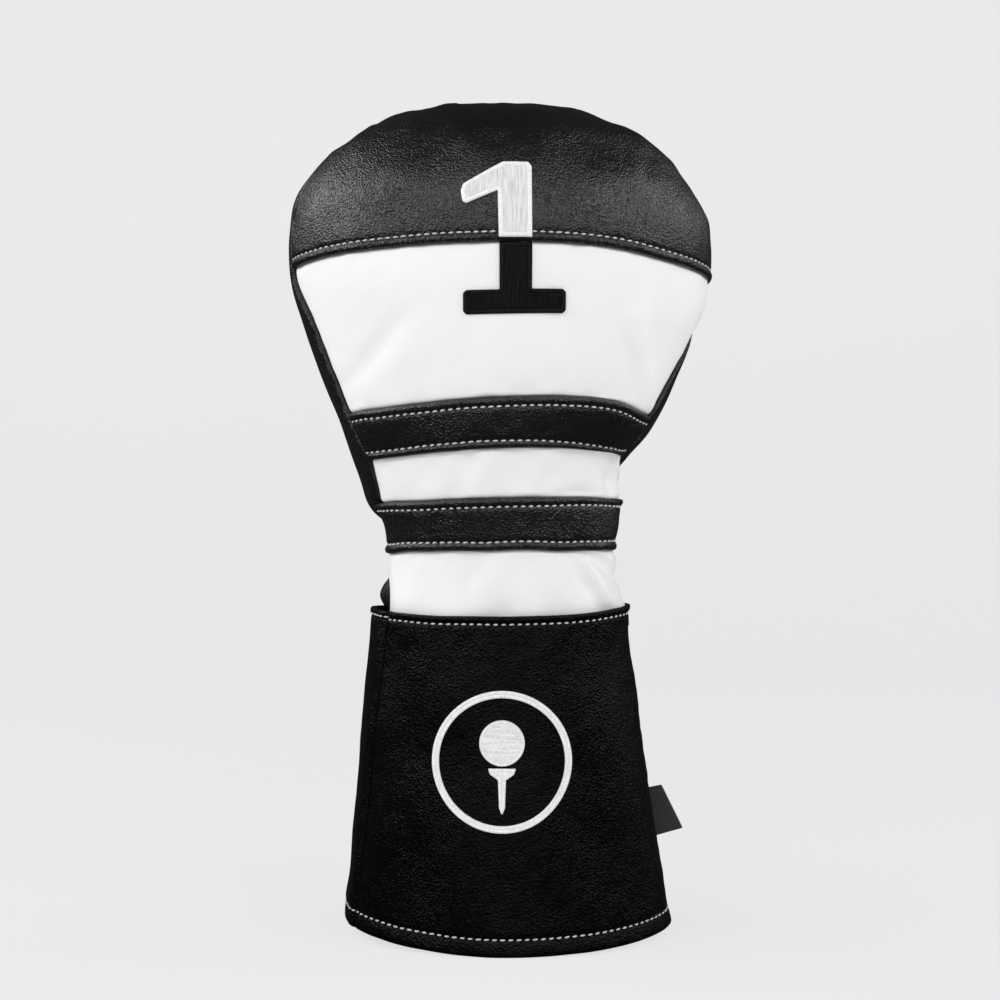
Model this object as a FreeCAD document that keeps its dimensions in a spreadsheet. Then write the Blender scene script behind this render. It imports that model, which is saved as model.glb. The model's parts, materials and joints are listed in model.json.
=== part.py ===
import FreeCAD, Part
import math
import os
import Sketcher

# Golf driver head cover: a padded leather pocket for the club head, a cinched
# neck with hidden elastic, and a flared cuff that rests on its hem.
# +Z is up, the decorated front faces -Y, and +X is to the right seen from the
# front.  The origin is on the hem plane, in the middle of the outline.

os.makedirs("parts", exist_ok=True)
doc = FreeCAD.newDocument("driver_head_cover")
V = FreeCAD.Vector

# ------------------------------------------------------------------ the sheet
sheet = doc.addObject("Spreadsheet::Sheet", "Sizes")
sheet.Label = "Sizes"
row = [0]


def cell(alias, number, note=""):
    row[0] += 1
    sheet.set("A%d" % row[0], alias)
    sheet.set("B%d" % row[0], "%.4f" % number)
    sheet.setAlias("B%d" % row[0], alias)
    if note:
        sheet.set("C%d" % row[0], note)


# Outer face of the white leather, level by level: height, half width, half
# depth, and where the middle of the oval lies in X and Y.
HEAD = [
    (110.0, 46.9, 32.2, 0.5, -1.0), (118.0, 46.8, 32.0, 0.4, -1.0),
    (130.0, 46.6, 31.8, 0.1, -1.6), (141.0, 45.2, 31.0, 0.9, -2.8),
    (152.0, 44.7, 31.2, 0.6, -3.6), (164.0, 46.6, 33.0, -1.2, -3.6),
    (174.0, 48.8, 35.6, -3.6, -3.0), (184.0, 53.2, 38.8, -3.5, -2.4),
    (194.0, 59.2, 42.2, -1.6, -2.1), (206.0, 64.8, 45.2, -0.5, -2.0),
    (218.0, 69.8, 47.6, -0.2, -2.2), (232.0, 75.0, 50.0, 0.2, -2.3),
    (246.0, 79.0, 52.0, -0.3, -2.5), (258.0, 81.4, 52.6, 0.0, -2.5),
    (270.0, 81.3, 52.0, 0.3, -2.5), (282.0, 78.2, 49.8, -0.8, -2.3),
    (293.5, 71.0, 44.6, -1.7, -2.0), (302.5, 62.4, 38.6, -1.2, -1.7),
    (309.5, 51.2, 30.6, -0.6, -1.1), (315.0, 36.8, 20.8, -1.0, -0.6),
    (319.0, 20.0, 9.0, -0.6, 0.0)]
CUFF = [
    (-8.0, 64.0, 44.0, 3.1, 0.0), (0.0, 63.6, 43.4, 2.9, 0.0),
    (8.0, 63.0, 42.8, 2.6, 0.0), (30.0, 60.5, 41.0, 2.2, 0.0),
    (60.0, 56.9, 39.0, 1.3, 0.0), (90.0, 53.4, 37.2, 0.4, 0.0),
    (110.0, 51.0, 36.2, -0.1, 0.0), (125.0, 50.3, 35.7, 0.3, 0.0),
    (133.0, 50.3, 35.5, 0.6, 0.0)]

cell("shift_x", -0.1, "moves the whole outline over the origin")
cell("shift_y", 3.1, "moves the whole outline over the origin")
for tag, table in (("head", HEAD), ("cuff", CUFF)):
    for i, (z, a, b, xo, yo) in enumerate(table):
        cell("%s_level_%02d" % (tag, i), z, "height of the oval")
        cell("%s_halfwide_%02d" % (tag, i), a)
        cell("%s_halfdeep_%02d" % (tag, i), b)
        cell("%s_offx_%02d" % (tag, i), xo)
        cell("%s_offy_%02d" % (tag, i), yo)

cell("leather", 1.5, "single leather")
cell("proud", 1.5, "black pieces stand this far outside the white leather")
cell("thread", 0.5, "height of a topstitch on the leather")
cell("badge", 1.2, "height of the raised embroidery")
cell("padding", 3.0, "foam behind the leather of the head pocket")
cell("fleece", 2.5, "lining pile")
cell("cuff_fleece", 2.0, "thin lining of the cuff")
cell("seam_y", -6.5, "side seams lie on one upright plane, at the middle")
cell("seam_yaw", 7.97, "degrees the seam plane is turned about Z")
cell("neck_seam_y", 4.0, "below the lower band the side seams move back")
cell("reach", 220.0, "size of the cutting tools")
cell("stitch_in", 3.1, "topstitch row to turned edge")
cell("stitch_wide", 0.7)
cell("cuff_top", 125.0)
cell("neck_bottom", 118.0)
cell("elastic_low", 146.0)
cell("elastic_high", 165.5)
cell("hem_edge", 2.5)
cell("hem_facing_top", 14.0)
cell("hem_stitch", 6.6)
# arches of the panel edges: a circle in the front view, by radius and centre
ARCH = {"crown": (500.8, -12.5, -241.4), "band_a_top": (308.9, -3.9, -104.3),
        "band_a_low": (336.0, 4.7, -150.1), "band_b_top": (625.0, 6.9, -456.9),
        "band_b_low": (893.0, 17.7, -744.4)}
for name, (r, x, z) in ARCH.items():
    cell("%s_arc" % name, r)
    cell("%s_arcx" % name, x)
    cell("%s_arcz" % name, z)
cell("ring_x", 0.9)
cell("ring_z", 69.3)
cell("ring_outer", 25.9)
cell("ring_inner", 23.2)
cell("ball", 8.4)
cell("ball_z", 76.0)
cell("tab_thick", 1.6)
cell("tab_y", 1.9, "the right seam")
doc.recompute()


def size(alias):
    return float(sheet.get(alias))



# ----------------------------------------------------------------- the forms
OVAL_POINTS = 20

def normals(table, cuff):
    out = []
    for i in range(len(table)):
        if cuff:
            out.append((1.0, 0.0))
            continue
        lo, hi = max(i - 1, 0), min(i + 1, len(table) - 1)
        dz = table[hi][0] - table[lo][0]
        dr = (table[hi][1] + table[hi][2] - table[lo][1] - table[lo][2]) / 2
        length = math.hypot(dz, dr)
        n = (dz / length, -dr / length)
        if table[i][0] < 170:
            n = (1.0, 0.0)
        if i == len(table) - 1:
            n = (0.35, 1.0)
        out.append(n)
    return out


def form(label, tag, off):
    """The oval skin moved out by off, as two equal closed solids.

    They differ only in where the oval starts: the solid for the front pieces
    has its seam at the back, and the solid for the back pieces at the front.
    """
    table = HEAD if tag == "head" else CUFF
    pair = []
    for side, turn in (("front", 0.0), ("back", math.pi)):
        rings = []
        for i, (nr, nz) in enumerate(normals(table, tag == "cuff")):
            a = size("%s_halfwide_%02d" % (tag, i)) + nr * off
            b = size("%s_halfdeep_%02d" % (tag, i)) + nr * off
            x = size("%s_offx_%02d" % (tag, i)) + size("shift_x")
            y = size("%s_offy_%02d" % (tag, i)) + size("shift_y")
            z = size("%s_level_%02d" % (tag, i)) + nz * off
            angles = [turn + 2 * math.pi * k / OVAL_POINTS for k in range(OVAL_POINTS)]
            curve = Part.BSplineCurve()
            curve.interpolate([V(x - a * math.sin(t), y + b * math.cos(t), z) for t in angles],
                              PeriodicFlag=True, Parameters=[float(k) for k in range(OVAL_POINTS + 1)])
            e = doc.addObject("Part::Feature", "%s_%s_oval_%02d" % (label, side, i))
            e.Shape = Part.Wire([curve.toShape()])
            rings.append(e)
        loft = doc.addObject("Part::Loft", "%s_%s" % (label, side))
        loft.Sections = rings
        loft.Solid = True
        loft.Ruled = False
        pair.append(loft)
    return pair


def op(kind, label, a, b):
    o = doc.addObject("Part::" + kind, label)
    o.Base = a
    o.Tool = b
    return o


def cut(label, a, b):
    return op("Cut", label, a, b)


def common(label, a, b):
    return op("Common", label, a, b)


def fuse(label, a, b):
    return op("Fuse", label, a, b)


LEATHER, PROUD = size("leather"), size("proud")
head_in = form("head_fleece_inner", "head", -LEATHER - size("padding") - size("fleece"))
head_mid = form("head_foam_inner", "head", -LEATHER - size("padding"))
head_back = form("head_leather_inner", "head", -LEATHER)
head_zero = form("head_leather_outer", "head", 0.0)
head_proud = form("head_black_outer", "head", PROUD)
head_thread = form("head_thread_outer", "head", PROUD + size("thread"))
head_badge = form("head_badge_outer", "head", PROUD + size("badge"))
cuff_in = form("cuff_fleece_inner", "cuff", -LEATHER - size("cuff_fleece"))
cuff_back = form("cuff_leather_inner", "cuff", -LEATHER)
cuff_zero = form("cuff_leather_outer", "cuff", 0.0)
cuff_thread = form("cuff_thread_outer", "cuff", size("thread"))
cuff_badge = form("cuff_badge_outer", "cuff", size("badge"))


# ----------------------------------------------------------- the cutting tools
def box(label, x, y, z, dx, dy, dz):
    b = doc.addObject("Part::Box", label)
    for prop, e in (("Length", dx), ("Width", dy), ("Height", dz),
                    ("Placement.Base.x", x), ("Placement.Base.y", y),
                    ("Placement.Base.z", z)):
        b.setExpression(prop, e)
    return b


def slab(label, low, high):
    return box(label, "-Sizes.reach", "-Sizes.reach", low, "2 * Sizes.reach",
               "2 * Sizes.reach", "(%s) - (%s)" % (high, low))


front = doc.addObject("Part::Box", "front_side")
front.Placement = FreeCAD.Placement(V(0, 0, 0), FreeCAD.Rotation(V(0, 0, 1), 5))
front.setExpression("Length", "2 * Sizes.reach")
front.setExpression("Width", "Sizes.reach")
front.setExpression("Height", "2 * Sizes.reach")
front.setExpression("Placement.Rotation.Angle", "Sizes.seam_yaw * 1 deg")
front.setExpression("Placement.Base.x", "Sizes.shift_x - Sizes.reach * cos(Sizes.seam_yaw * 1 deg)"
                    " + Sizes.reach * sin(Sizes.seam_yaw * 1 deg)")
front.setExpression("Placement.Base.y", "Sizes.shift_y + Sizes.seam_y - Sizes.reach * sin(Sizes.seam_yaw * 1 deg)"
                    " - Sizes.reach * cos(Sizes.seam_yaw * 1 deg)")
front.setExpression("Placement.Base.z", "-20")
neck_front = box("neck_front_side", "-Sizes.reach", "Sizes.shift_y + Sizes.neck_seam_y - Sizes.reach", "-20",
                 "2 * Sizes.reach", "Sizes.reach", "2 * Sizes.reach")


def arch(label, name, grow):
    """A cylinder along Y whose top is one arched panel edge."""
    c = doc.addObject("Part::Cylinder", label)
    c.Placement = FreeCAD.Placement(V(0, -200, 0), FreeCAD.Rotation(V(1, 0, 0), -90))
    c.setExpression("Radius", "Sizes.%s_arc + (%s)" % (name, grow))
    c.setExpression("Height", "2 * Sizes.reach")
    c.setExpression("Placement.Base.x", "Sizes.%s_arcx + Sizes.shift_x" % name)
    c.setExpression("Placement.Base.y", "-Sizes.reach")
    c.setExpression("Placement.Base.z", "Sizes.%s_arcz" % name)
    return c


crown_edge = arch("crown_edge", "crown", "0")
a_top = arch("upper_band_top_edge", "band_a_top", "0")
a_low = arch("upper_band_low_edge", "band_a_low", "0")
b_top = arch("lower_band_top_edge", "band_b_top", "0")
b_low = arch("lower_band_low_edge", "band_b_low", "0")

def piece(label, outer, inner, keep=(), drop=(), side=0):
    """The outer form trimmed by the tools, then hollowed by the inner form."""
    o = outer[side]
    for k, tool in enumerate(keep):
        o = common("%s_in_%d" % (label, k), o, tool)
    for k, tool in enumerate(drop):
        o = cut("%s_out_%d" % (label, k), o, tool)
    return cut(label, o, inner[side])


def all_round(label, outer, inner, keep, divider):
    """The same all the way round, made as a front and a back and joined."""
    one = piece(label + "_fore", outer, inner, [divider] + list(keep), (), 0)
    two = piece(label + "_aft", outer, inner, keep, [divider], 1)
    return fuse(label, one, two)


# ------------------------------------------------------- leather, front pieces
crown = piece("crown_panel", head_proud, head_back, [front], [crown_edge])
upper = piece("upper_front_panel", head_zero, head_back, [front, crown_edge], [a_top])
band_a = piece("upper_band", head_proud, head_back, [front, a_top], [a_low])
mid = piece("mid_front_panel", head_zero, head_back, [front, a_low], [b_top])
band_b = piece("lower_band", head_proud, head_back, [neck_front, b_top], [b_low])
below_neck = slab("below_neck", "0", "Sizes.neck_bottom")
neck = piece("neck_front_panel", head_zero, head_back, [neck_front, b_low], [below_neck])

# -------------------------------------------------------- leather, back pieces
back = piece("upper_back_panel", head_proud, head_back, [], [front, b_top], 1)
neck_back = piece("neck_back_panel", head_zero, head_back, [b_top], [neck_front, below_neck], 1)

# --------------------------------------------------------------- the soft layers
below_elastic = slab("foam_limit", "-10", "Sizes.elastic_high")
elastic_slab = slab("elastic_slab", "Sizes.elastic_low", "Sizes.elastic_high")
below_fleece = slab("fleece_limit", "-10", "Sizes.elastic_low")
foam_front = piece("head_padding_front", head_back, head_mid, [front], [below_elastic])
foam_back = piece("head_padding_back", head_back, head_mid, [], [front, below_elastic], 1)
elastic = all_round("neck_elastic", head_back, head_mid, [elastic_slab], neck_front)
pile_front = piece("head_lining_front", head_mid, head_in, [front], [below_fleece])
pile_back = piece("head_lining_back", head_mid, head_in, [], [front, below_fleece], 1)
neck_slab = slab("neck_lining_slab", "Sizes.neck_bottom", "Sizes.elastic_low")
neck_pile_front = piece("neck_lining_front", head_back, head_in, [neck_slab, neck_front])
neck_pile_back = piece("neck_lining_back", head_back, head_in, [neck_slab], [neck_front], 1)

# --------------------------------------------------------------------- the cuff
hem_slab = slab("hem_slab", "-20", "Sizes.hem_edge")
anchor_box = box("tab_slot", "20", "Sizes.tab_y - Sizes.tab_thick / 2", "36.4",
                 "80", "Sizes.tab_thick", "19")
above_cuff = slab("above_cuff", "Sizes.cuff_top", "Sizes.cuff_top + 20")
cuff_front = piece("cuff_front_panel", cuff_zero, cuff_back, [front], [hem_slab, above_cuff, anchor_box])
cuff_rear = piece("cuff_back_panel", cuff_zero, cuff_back, [], [front, hem_slab, above_cuff, anchor_box], 1)
anchor = piece("tab_seam_end", cuff_zero, cuff_back, [anchor_box])
lining_slab = slab("cuff_lining_slab", "Sizes.hem_facing_top", "Sizes.neck_bottom")
cuff_pile_front = piece("cuff_lining_front", cuff_back, cuff_in, [front, lining_slab])
cuff_pile_back = piece("cuff_lining_back", cuff_back, cuff_in, [lining_slab], [front], 1)
hem_edge_ring = all_round("hem_edge_ring", cuff_thread, cuff_in, [slab("hem_edge_slab", "0", "Sizes.hem_edge")], front)
hem_up = all_round("hem_up", cuff_back, cuff_in, [slab("hem_up_slab", "Sizes.hem_edge", "Sizes.hem_facing_top")], front)
hem = fuse("hem_facing", hem_edge_ring, hem_up)
turned_slab = slab("turned_slab", "Sizes.neck_bottom", "Sizes.cuff_top")
turned_front = piece("cuff_turned_edge_front", cuff_back, head_zero, [neck_front, turned_slab])
turned_back = piece("cuff_turned_edge_back", cuff_back, head_zero, [turned_slab], [neck_front], 1)


# ------------------------------------------------------------------- topstitching
def stitch_row(label, side, name, grow):
    outer = arch(label + "_outer", name, "%s + Sizes.stitch_wide / 2" % grow)
    inner = arch(label + "_inner", name, "%s - Sizes.stitch_wide / 2" % grow)
    return piece(label, head_thread, head_proud, [side, outer], [inner])


row_a1 = stitch_row("upper_band_row_top", front, "band_a_top", "-Sizes.stitch_in")
row_a2 = stitch_row("upper_band_row_low", front, "band_a_low", "Sizes.stitch_in")
row_b1 = stitch_row("lower_band_row_top", neck_front, "band_b_top", "-Sizes.stitch_in")
row_b2 = stitch_row("lower_band_row_low", neck_front, "band_b_low", "Sizes.stitch_in")
rows_a = fuse("upper_band_topstitch", row_a1, row_a2)
rows_b = fuse("lower_band_topstitch", row_b1, row_b2)
cuff_row = all_round("cuff_topstitch", cuff_thread, cuff_zero,
                     [slab("cuff_row_slab", "Sizes.cuff_top - Sizes.stitch_in - Sizes.stitch_wide / 2",
                           "Sizes.cuff_top - Sizes.stitch_in + Sizes.stitch_wide / 2")], front)
hem_row = all_round("hem_topstitch", cuff_thread, cuff_zero,
                    [slab("hem_row_slab", "Sizes.hem_stitch - Sizes.stitch_wide / 2",
                          "Sizes.hem_stitch + Sizes.stitch_wide / 2")], front)


# ------------------------------------------------- sketched pieces (front view)
def plane_of(body, role):
    for f in body.Origin.OriginFeatures:
        if f.Role == role:
            return f


def outline(label, points, length_expr, circles=(), midplane=False):
    """A body padded from a closed outline drawn in the XZ plane."""
    body = doc.addObject("PartDesign::Body", label)
    sk = body.newObject("Sketcher::SketchObject", label + "_sketch")
    sk.AttachmentSupport = [(plane_of(body, "XZ_Plane"), "")]
    sk.MapMode = "FlatFace"
    n = len(points)
    for i in range(n):
        p, q = points[i], points[(i + 1) % n]
        sk.addGeometry(Part.LineSegment(V(p[0], p[1], 0), V(q[0], q[1], 0)), False)
    for i in range(n):
        sk.addConstraint(Sketcher.Constraint("Coincident", i, 2, (i + 1) % n, 1))
        sk.addConstraint(Sketcher.Constraint("DistanceX", -1, 1, i, 1, points[i][0]))
        sk.addConstraint(Sketcher.Constraint("DistanceY", -1, 1, i, 1, points[i][1]))
    for cx, cz, expr, number in circles:
        g = sk.addGeometry(Part.Circle(V(cx, cz, 0), V(0, 0, 1), number), False)
        sk.addConstraint(Sketcher.Constraint("DistanceX", -1, 1, g, 3, cx))
        sk.addConstraint(Sketcher.Constraint("DistanceY", -1, 1, g, 3, cz))
        k = sk.addConstraint(Sketcher.Constraint("Radius", g, number))
        sk.setExpression("Constraints[%d]" % k, expr)
    pad = body.newObject("PartDesign::Pad", label + "_pad")
    pad.Profile = sk
    pad.setExpression("Length", length_expr)
    if midplane:
        pad.Midplane = True
    sk.Visibility = False
    return body


# The club number: a figure one, its upper part in white thread on the crown
# and its lower part in black thread on the white panel.
one_top = outline("numeral_upper_outline", [(-0.9, 255.0), (11.2, 255.0), (11.2, 285.5), (9.8, 287.2), (1.6, 287.4),
                                            (-13.2, 279.6), (-12.9, 273.0), (-0.9, 277.8)], "Sizes.reach")
one_low = outline("numeral_lower_outline", [(-0.4, 264.0), (11.4, 264.0), (11.4, 242.4), (22.5, 242.4), (23.5, 241.2),
                                            (23.5, 234.2), (22.5, 233.0), (-12.1, 233.0), (-13.1, 234.2),
                                            (-13.1, 241.2), (-12.1, 242.4), (-0.4, 242.4)], "Sizes.reach")
crown_row = cut("crown_topstitch", stitch_row("crown_row", front, "crown", "Sizes.stitch_in"), one_top)
numeral_upper = piece("numeral_upper", head_badge, head_proud, [one_top], [crown_edge])
numeral_lower = piece("numeral_lower", head_proud, head_zero, [one_low, crown_edge])

# Round badge on the cuff: a plain ring round a ball on a tee.
ring_pad = outline("emblem_ring_outline", [], "Sizes.reach",
                   [(size("ring_x"), size("ring_z"), "Sizes.ring_outer", size("ring_outer")),
                    (size("ring_x"), size("ring_z"), "Sizes.ring_inner", size("ring_inner"))])
ring = piece("emblem_ring", cuff_badge, cuff_zero, [ring_pad])
bx = size("ring_x")
ball_pad = outline("ball_outline", [], "Sizes.reach", [(bx, size("ball_z"), "Sizes.ball", size("ball"))])
tee_pad = outline("tee_outline", [(bx - 5.2, 66.8), (bx + 5.2, 66.8), (bx + 4.4, 64.6), (bx + 1.5, 62.6), (bx + 1.1, 52.5),
                                  (bx, 49.8), (bx - 1.1, 52.5), (bx - 1.5, 62.6), (bx - 4.4, 64.6)], "Sizes.reach")
ball = piece("emblem_ball", cuff_badge, cuff_zero, [ball_pad])
tee = piece("emblem_tee", cuff_badge, cuff_zero, [tee_pad])

# Folded woven tab on the right seam, swinging about its seam line.  Its root
# is rolled about the hinge line, which runs along the cuff's edge.
root_hi = (58.7 + 1.25, 55.2)
root_lo = (61.5 + 1.25, 36.6)
tab_pad = outline("side_tab_outline", [root_hi, (63.6, 55.9), (71.2, 39.5), root_lo], "Sizes.tab_thick", (), True)
tab_pad.setExpression("Placement.Base.x", "Sizes.shift_x")
tab_pad.setExpression("Placement.Base.y", "Sizes.tab_y")
roll = doc.addObject("Part::Cylinder", "side_tab_roll")
dx, dz = root_hi[0] - root_lo[0], root_hi[1] - root_lo[1]
tilt = math.degrees(math.atan2(dx, dz))
roll.Placement = FreeCAD.Placement(V(root_lo[0], 0, root_lo[1]), FreeCAD.Rotation(V(0, 1, 0), tilt))
roll.setExpression("Radius", "Sizes.tab_thick / 2")
roll.Height = math.hypot(dx, dz)
roll.setExpression("Placement.Base.x", "Sizes.shift_x + %.4f" % root_lo[0])
roll.setExpression("Placement.Base.y", "Sizes.tab_y")
tab = fuse("side_tab", tab_pad, roll)

doc.recompute()

# ------------------------------------------------------------------- hand over
parts = [crown, upper, band_a, mid, band_b, neck, back, neck_back,
         foam_front, foam_back, elastic, pile_front, pile_back, neck_pile_front, neck_pile_back,
         cuff_front, cuff_rear, anchor, cuff_pile_front, cuff_pile_back, hem, turned_front, turned_back,
         crown_row, rows_a, rows_b, cuff_row, hem_row,
         numeral_upper, numeral_lower, ring, ball, tee, tab]
bad = [o.Name for o in doc.Objects if "Invalid" in o.State or "Error" in o.State]
if bad:
    raise RuntimeError("objects that failed: %s" % bad)
whole = FreeCAD.BoundBox()
for o in parts:
    s = o.Shape
    if s.isNull() or not s.isValid() or s.Volume < 1:
        raise RuntimeError("%s has no valid solid" % o.Label)
    whole.add(s.BoundBox)
    print("%-22s solids %2d volume %9.1f  x %.1f %.1f  y %.1f %.1f  z %.1f %.1f" % (
        o.Label, len(s.Solids), s.Volume, s.BoundBox.XMin, s.BoundBox.XMax,
        s.BoundBox.YMin, s.BoundBox.YMax, s.BoundBox.ZMin, s.BoundBox.ZMax))
print("whole", whole)
for o in parts:
    o.Shape.exportStep("parts/%s.step" % o.Label)
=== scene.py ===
import json
import math

import bpy
import numpy as np
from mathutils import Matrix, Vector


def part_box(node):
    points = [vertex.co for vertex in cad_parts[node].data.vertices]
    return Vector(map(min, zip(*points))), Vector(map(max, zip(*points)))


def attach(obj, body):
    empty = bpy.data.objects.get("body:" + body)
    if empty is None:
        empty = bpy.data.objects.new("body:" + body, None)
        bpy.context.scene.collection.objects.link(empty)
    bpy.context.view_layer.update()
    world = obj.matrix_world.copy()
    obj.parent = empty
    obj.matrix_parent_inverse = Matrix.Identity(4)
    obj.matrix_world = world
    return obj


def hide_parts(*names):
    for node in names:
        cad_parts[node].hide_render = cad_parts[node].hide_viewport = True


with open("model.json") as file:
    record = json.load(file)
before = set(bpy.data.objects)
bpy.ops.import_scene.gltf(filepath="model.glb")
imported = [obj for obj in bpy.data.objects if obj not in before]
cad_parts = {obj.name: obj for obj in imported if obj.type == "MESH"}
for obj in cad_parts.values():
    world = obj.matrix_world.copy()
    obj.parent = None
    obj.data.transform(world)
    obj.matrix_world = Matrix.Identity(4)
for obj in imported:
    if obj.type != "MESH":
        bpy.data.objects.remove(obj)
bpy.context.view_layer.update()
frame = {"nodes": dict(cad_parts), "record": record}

MM = 0.001

# ============================================================ form (millimetres)
# The cover's skin is a stack of ovals, in the same tables as the CAD model.
# phi is the way round (0 at the front, +90 at the right), t runs up the skin
# in millimetres, off is the height over the white leather's outer face.
SHIFT_X, SHIFT_Y = -0.1, 3.1
HEAD = [
    (110.0, 46.9, 32.2, 0.5, -1.0), (118.0, 46.8, 32.0, 0.4, -1.0),
    (130.0, 46.6, 31.8, 0.1, -1.6), (141.0, 45.2, 31.0, 0.9, -2.8),
    (152.0, 44.7, 31.2, 0.6, -3.6), (164.0, 46.6, 33.0, -1.2, -3.6),
    (174.0, 48.8, 35.6, -3.6, -3.0), (184.0, 53.2, 38.8, -3.5, -2.4),
    (194.0, 59.2, 42.2, -1.6, -2.1), (206.0, 64.8, 45.2, -0.5, -2.0),
    (218.0, 69.8, 47.6, -0.2, -2.2), (232.0, 75.0, 50.0, 0.2, -2.3),
    (246.0, 79.0, 52.0, -0.3, -2.5), (258.0, 81.4, 52.6, 0.0, -2.5),
    (270.0, 81.3, 52.0, 0.3, -2.5), (282.0, 78.2, 49.8, -0.8, -2.3),
    (293.5, 71.0, 44.6, -1.7, -2.0), (302.5, 62.4, 38.6, -1.2, -1.7),
    (309.5, 51.2, 30.6, -0.6, -1.1), (315.0, 36.8, 20.8, -1.0, -0.6),
    (318.4, 19.0, 9.8, -0.8, -0.3), (319.3, 0.0, 0.0, -0.6, 0.0)]
CUFF = [
    (-8.0, 64.0, 44.0, 3.1, 0.0), (0.0, 63.6, 43.4, 2.9, 0.0),
    (8.0, 63.0, 42.8, 2.6, 0.0), (30.0, 60.5, 41.0, 2.2, 0.0),
    (60.0, 56.9, 39.0, 1.3, 0.0), (90.0, 53.4, 37.2, 0.4, 0.0),
    (110.0, 51.0, 36.2, -0.1, 0.0), (125.0, 50.3, 35.7, 0.3, 0.0),
    (133.0, 50.3, 35.5, 0.6, 0.0)]
ARCH = {"crown": (500.8, -12.5, -241.4), "band_a_top": (308.9, -3.9, -104.3),
        "band_a_low": (336.0, 4.7, -150.1), "band_b_top": (625.0, 6.9, -456.9),
        "band_b_low": (893.0, 17.7, -744.4)}


def natural(ts, ys):
    """Natural cubic spline: gives value and slope."""
    ts, ys = np.asarray(ts, float), np.asarray(ys, float)
    n, h = len(ts), np.diff(ts)
    A, r = np.eye(n), np.zeros(n)
    for i in range(1, n - 1):
        A[i, i - 1], A[i, i], A[i, i + 1] = h[i - 1], 2 * (h[i - 1] + h[i]), h[i]
        r[i] = 6 * ((ys[i + 1] - ys[i]) / h[i] - (ys[i] - ys[i - 1]) / h[i - 1])
    m = np.linalg.solve(A, r)

    def f(t):
        t = np.asarray(t, float)
        k = np.clip(np.searchsorted(ts, t) - 1, 0, n - 2)
        w, p, q = h[k], ts[k + 1] - t, t - ts[k]
        c0, c1 = ys[k] / w - m[k] * w / 6, ys[k + 1] / w - m[k + 1] * w / 6
        return ((m[k] * p ** 3 + m[k + 1] * q ** 3) / (6 * w) + c0 * p + c1 * q,
                (-m[k] * p ** 2 + m[k + 1] * q ** 2) / (2 * w) - c0 + c1)
    return f


def table(rows):
    """Smooth look-up that holds its end values."""
    rows = np.array(rows, float)
    f = natural(rows[:, 0], rows[:, 1])
    return lambda x: f(np.clip(x, rows[0, 0], rows[-1, 0]))[0]


def ramp(x, a, b):
    u = np.clip((x - a) / (b - a), 0, 1)
    return u * u * (3 - 2 * u)


def unit(v):
    return v / np.maximum(np.linalg.norm(v, axis=-1, keepdims=True), 1e-12)


def waves(seed, size, count=18, stretch=(1, 1, 1)):
    """Seeded smooth noise of about unit height, features about size mm."""
    rng = np.random.default_rng(seed)
    k = unit(rng.normal(size=(count, 3))) * (2 * math.pi / size) * rng.uniform(0.55, 1.35, (count, 1))
    k = k / np.array(stretch, float)
    ph = rng.uniform(0, 2 * math.pi, count)
    return lambda P: np.cos(P @ k.T + ph).sum(-1) / math.sqrt(count / 2)


# board: a point seen on a board at the middle plane, from 650 mm in front
def board(P):
    s = 650.0 / (650.0 + P[..., 1])
    return P[..., 0] * s, 167.0 + (P[..., 2] - 167.0) * s


def bump(x, z, cx, cz, rx, rz, turn=0.0):
    c, s = math.cos(math.radians(turn)), math.sin(math.radians(turn))
    u, v = (x - cx) * c + (z - cz) * s, -(x - cx) * s + (z - cz) * c
    return np.exp(-(u / rx) ** 2 - (v / rz) ** 2)


# small corrections of the ovals at the sides, level by level, and round the crown
FIT_LEFT = [(126, -3.21), (132, -2.82), (138, -1.68), (144, -0.7), (150, -1.4), (156, -1.8), (162, -1.22),
            (168, 0.05), (174, -0.1), (182, -0.4), (190, -0.92), (198, -1.34), (206, -1.1), (214, -1),
            (222, -0.83), (230, -0.49), (238, -0.48), (246, -0.49), (254, -0.71), (262, -0.62), (276, 0.45),
            (290, 0)]
FIT_RIGHT = [(126, 2.57), (132, 0.64), (138, -0.93), (144, -0.93), (150, -2.27), (156, -1.24), (162, -0.79),
             (168, 1.03), (174, 1.47), (182, -0.95), (190, -0.58), (198, -0.98), (206, -1.31), (214, -1.69),
             (222, -1.49), (230, -1.33), (238, 0.12), (246, 0.98), (254, -0.17), (262, -1.2), (276, -1.51),
             (290, 0)]
FIT_TOP = [(-104, 0), (-98.8, 0), (-93.6, 0), (-88.4, 0), (-83.2, -1.71), (-78, -1.68), (-72.8, -1.75),
           (-67.6, -0.72), (-62.4, -0.67), (-57.2, -1.53), (-52, -1.83), (-46.8, -2), (-41.6, -1.91),
           (-36.4, -1.27), (-31.2, -0.58), (-26, -0.72), (-20.8, -0.79), (-15.6, -0.17), (-10.4, -0.73),
           (-5.2, -0.62), (0, -0.47), (5.2, -0.67), (10.4, -0.5), (15.6, -0.5), (20.8, 0), (26, -0.89),
           (31.2, -2.61), (36.4, -3.05), (41.6, -2.29), (46.8, -1.83), (52, -1.14), (57.2, -2.08),
           (62.4, -2.07), (67.6, -1.48), (72.8, -0.54), (78, -2.63), (83.2, -1.68), (88.4, 0), (93.6, 0),
           (98.8, 0), (104, 0)]
CUFF_LEFT = [(0, -0.76), (12.5, 0.16), (25, -0.63), (37.5, -0.34), (50, -0.77), (62.5, -0.51), (75, 0),
             (87.5, 0.01), (100, 0.37), (112.5, 0.54), (125, 0.23)]
CUFF_RIGHT = [(0, 0.06), (12.5, -0.7), (25, -0.74), (37.5, -0.78), (50, -0.51), (62.5, -0.65), (75, -0.81),
              (87.5, -0.55), (100, -0.14), (112.5, -0.63), (125, -0.26)]
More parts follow.
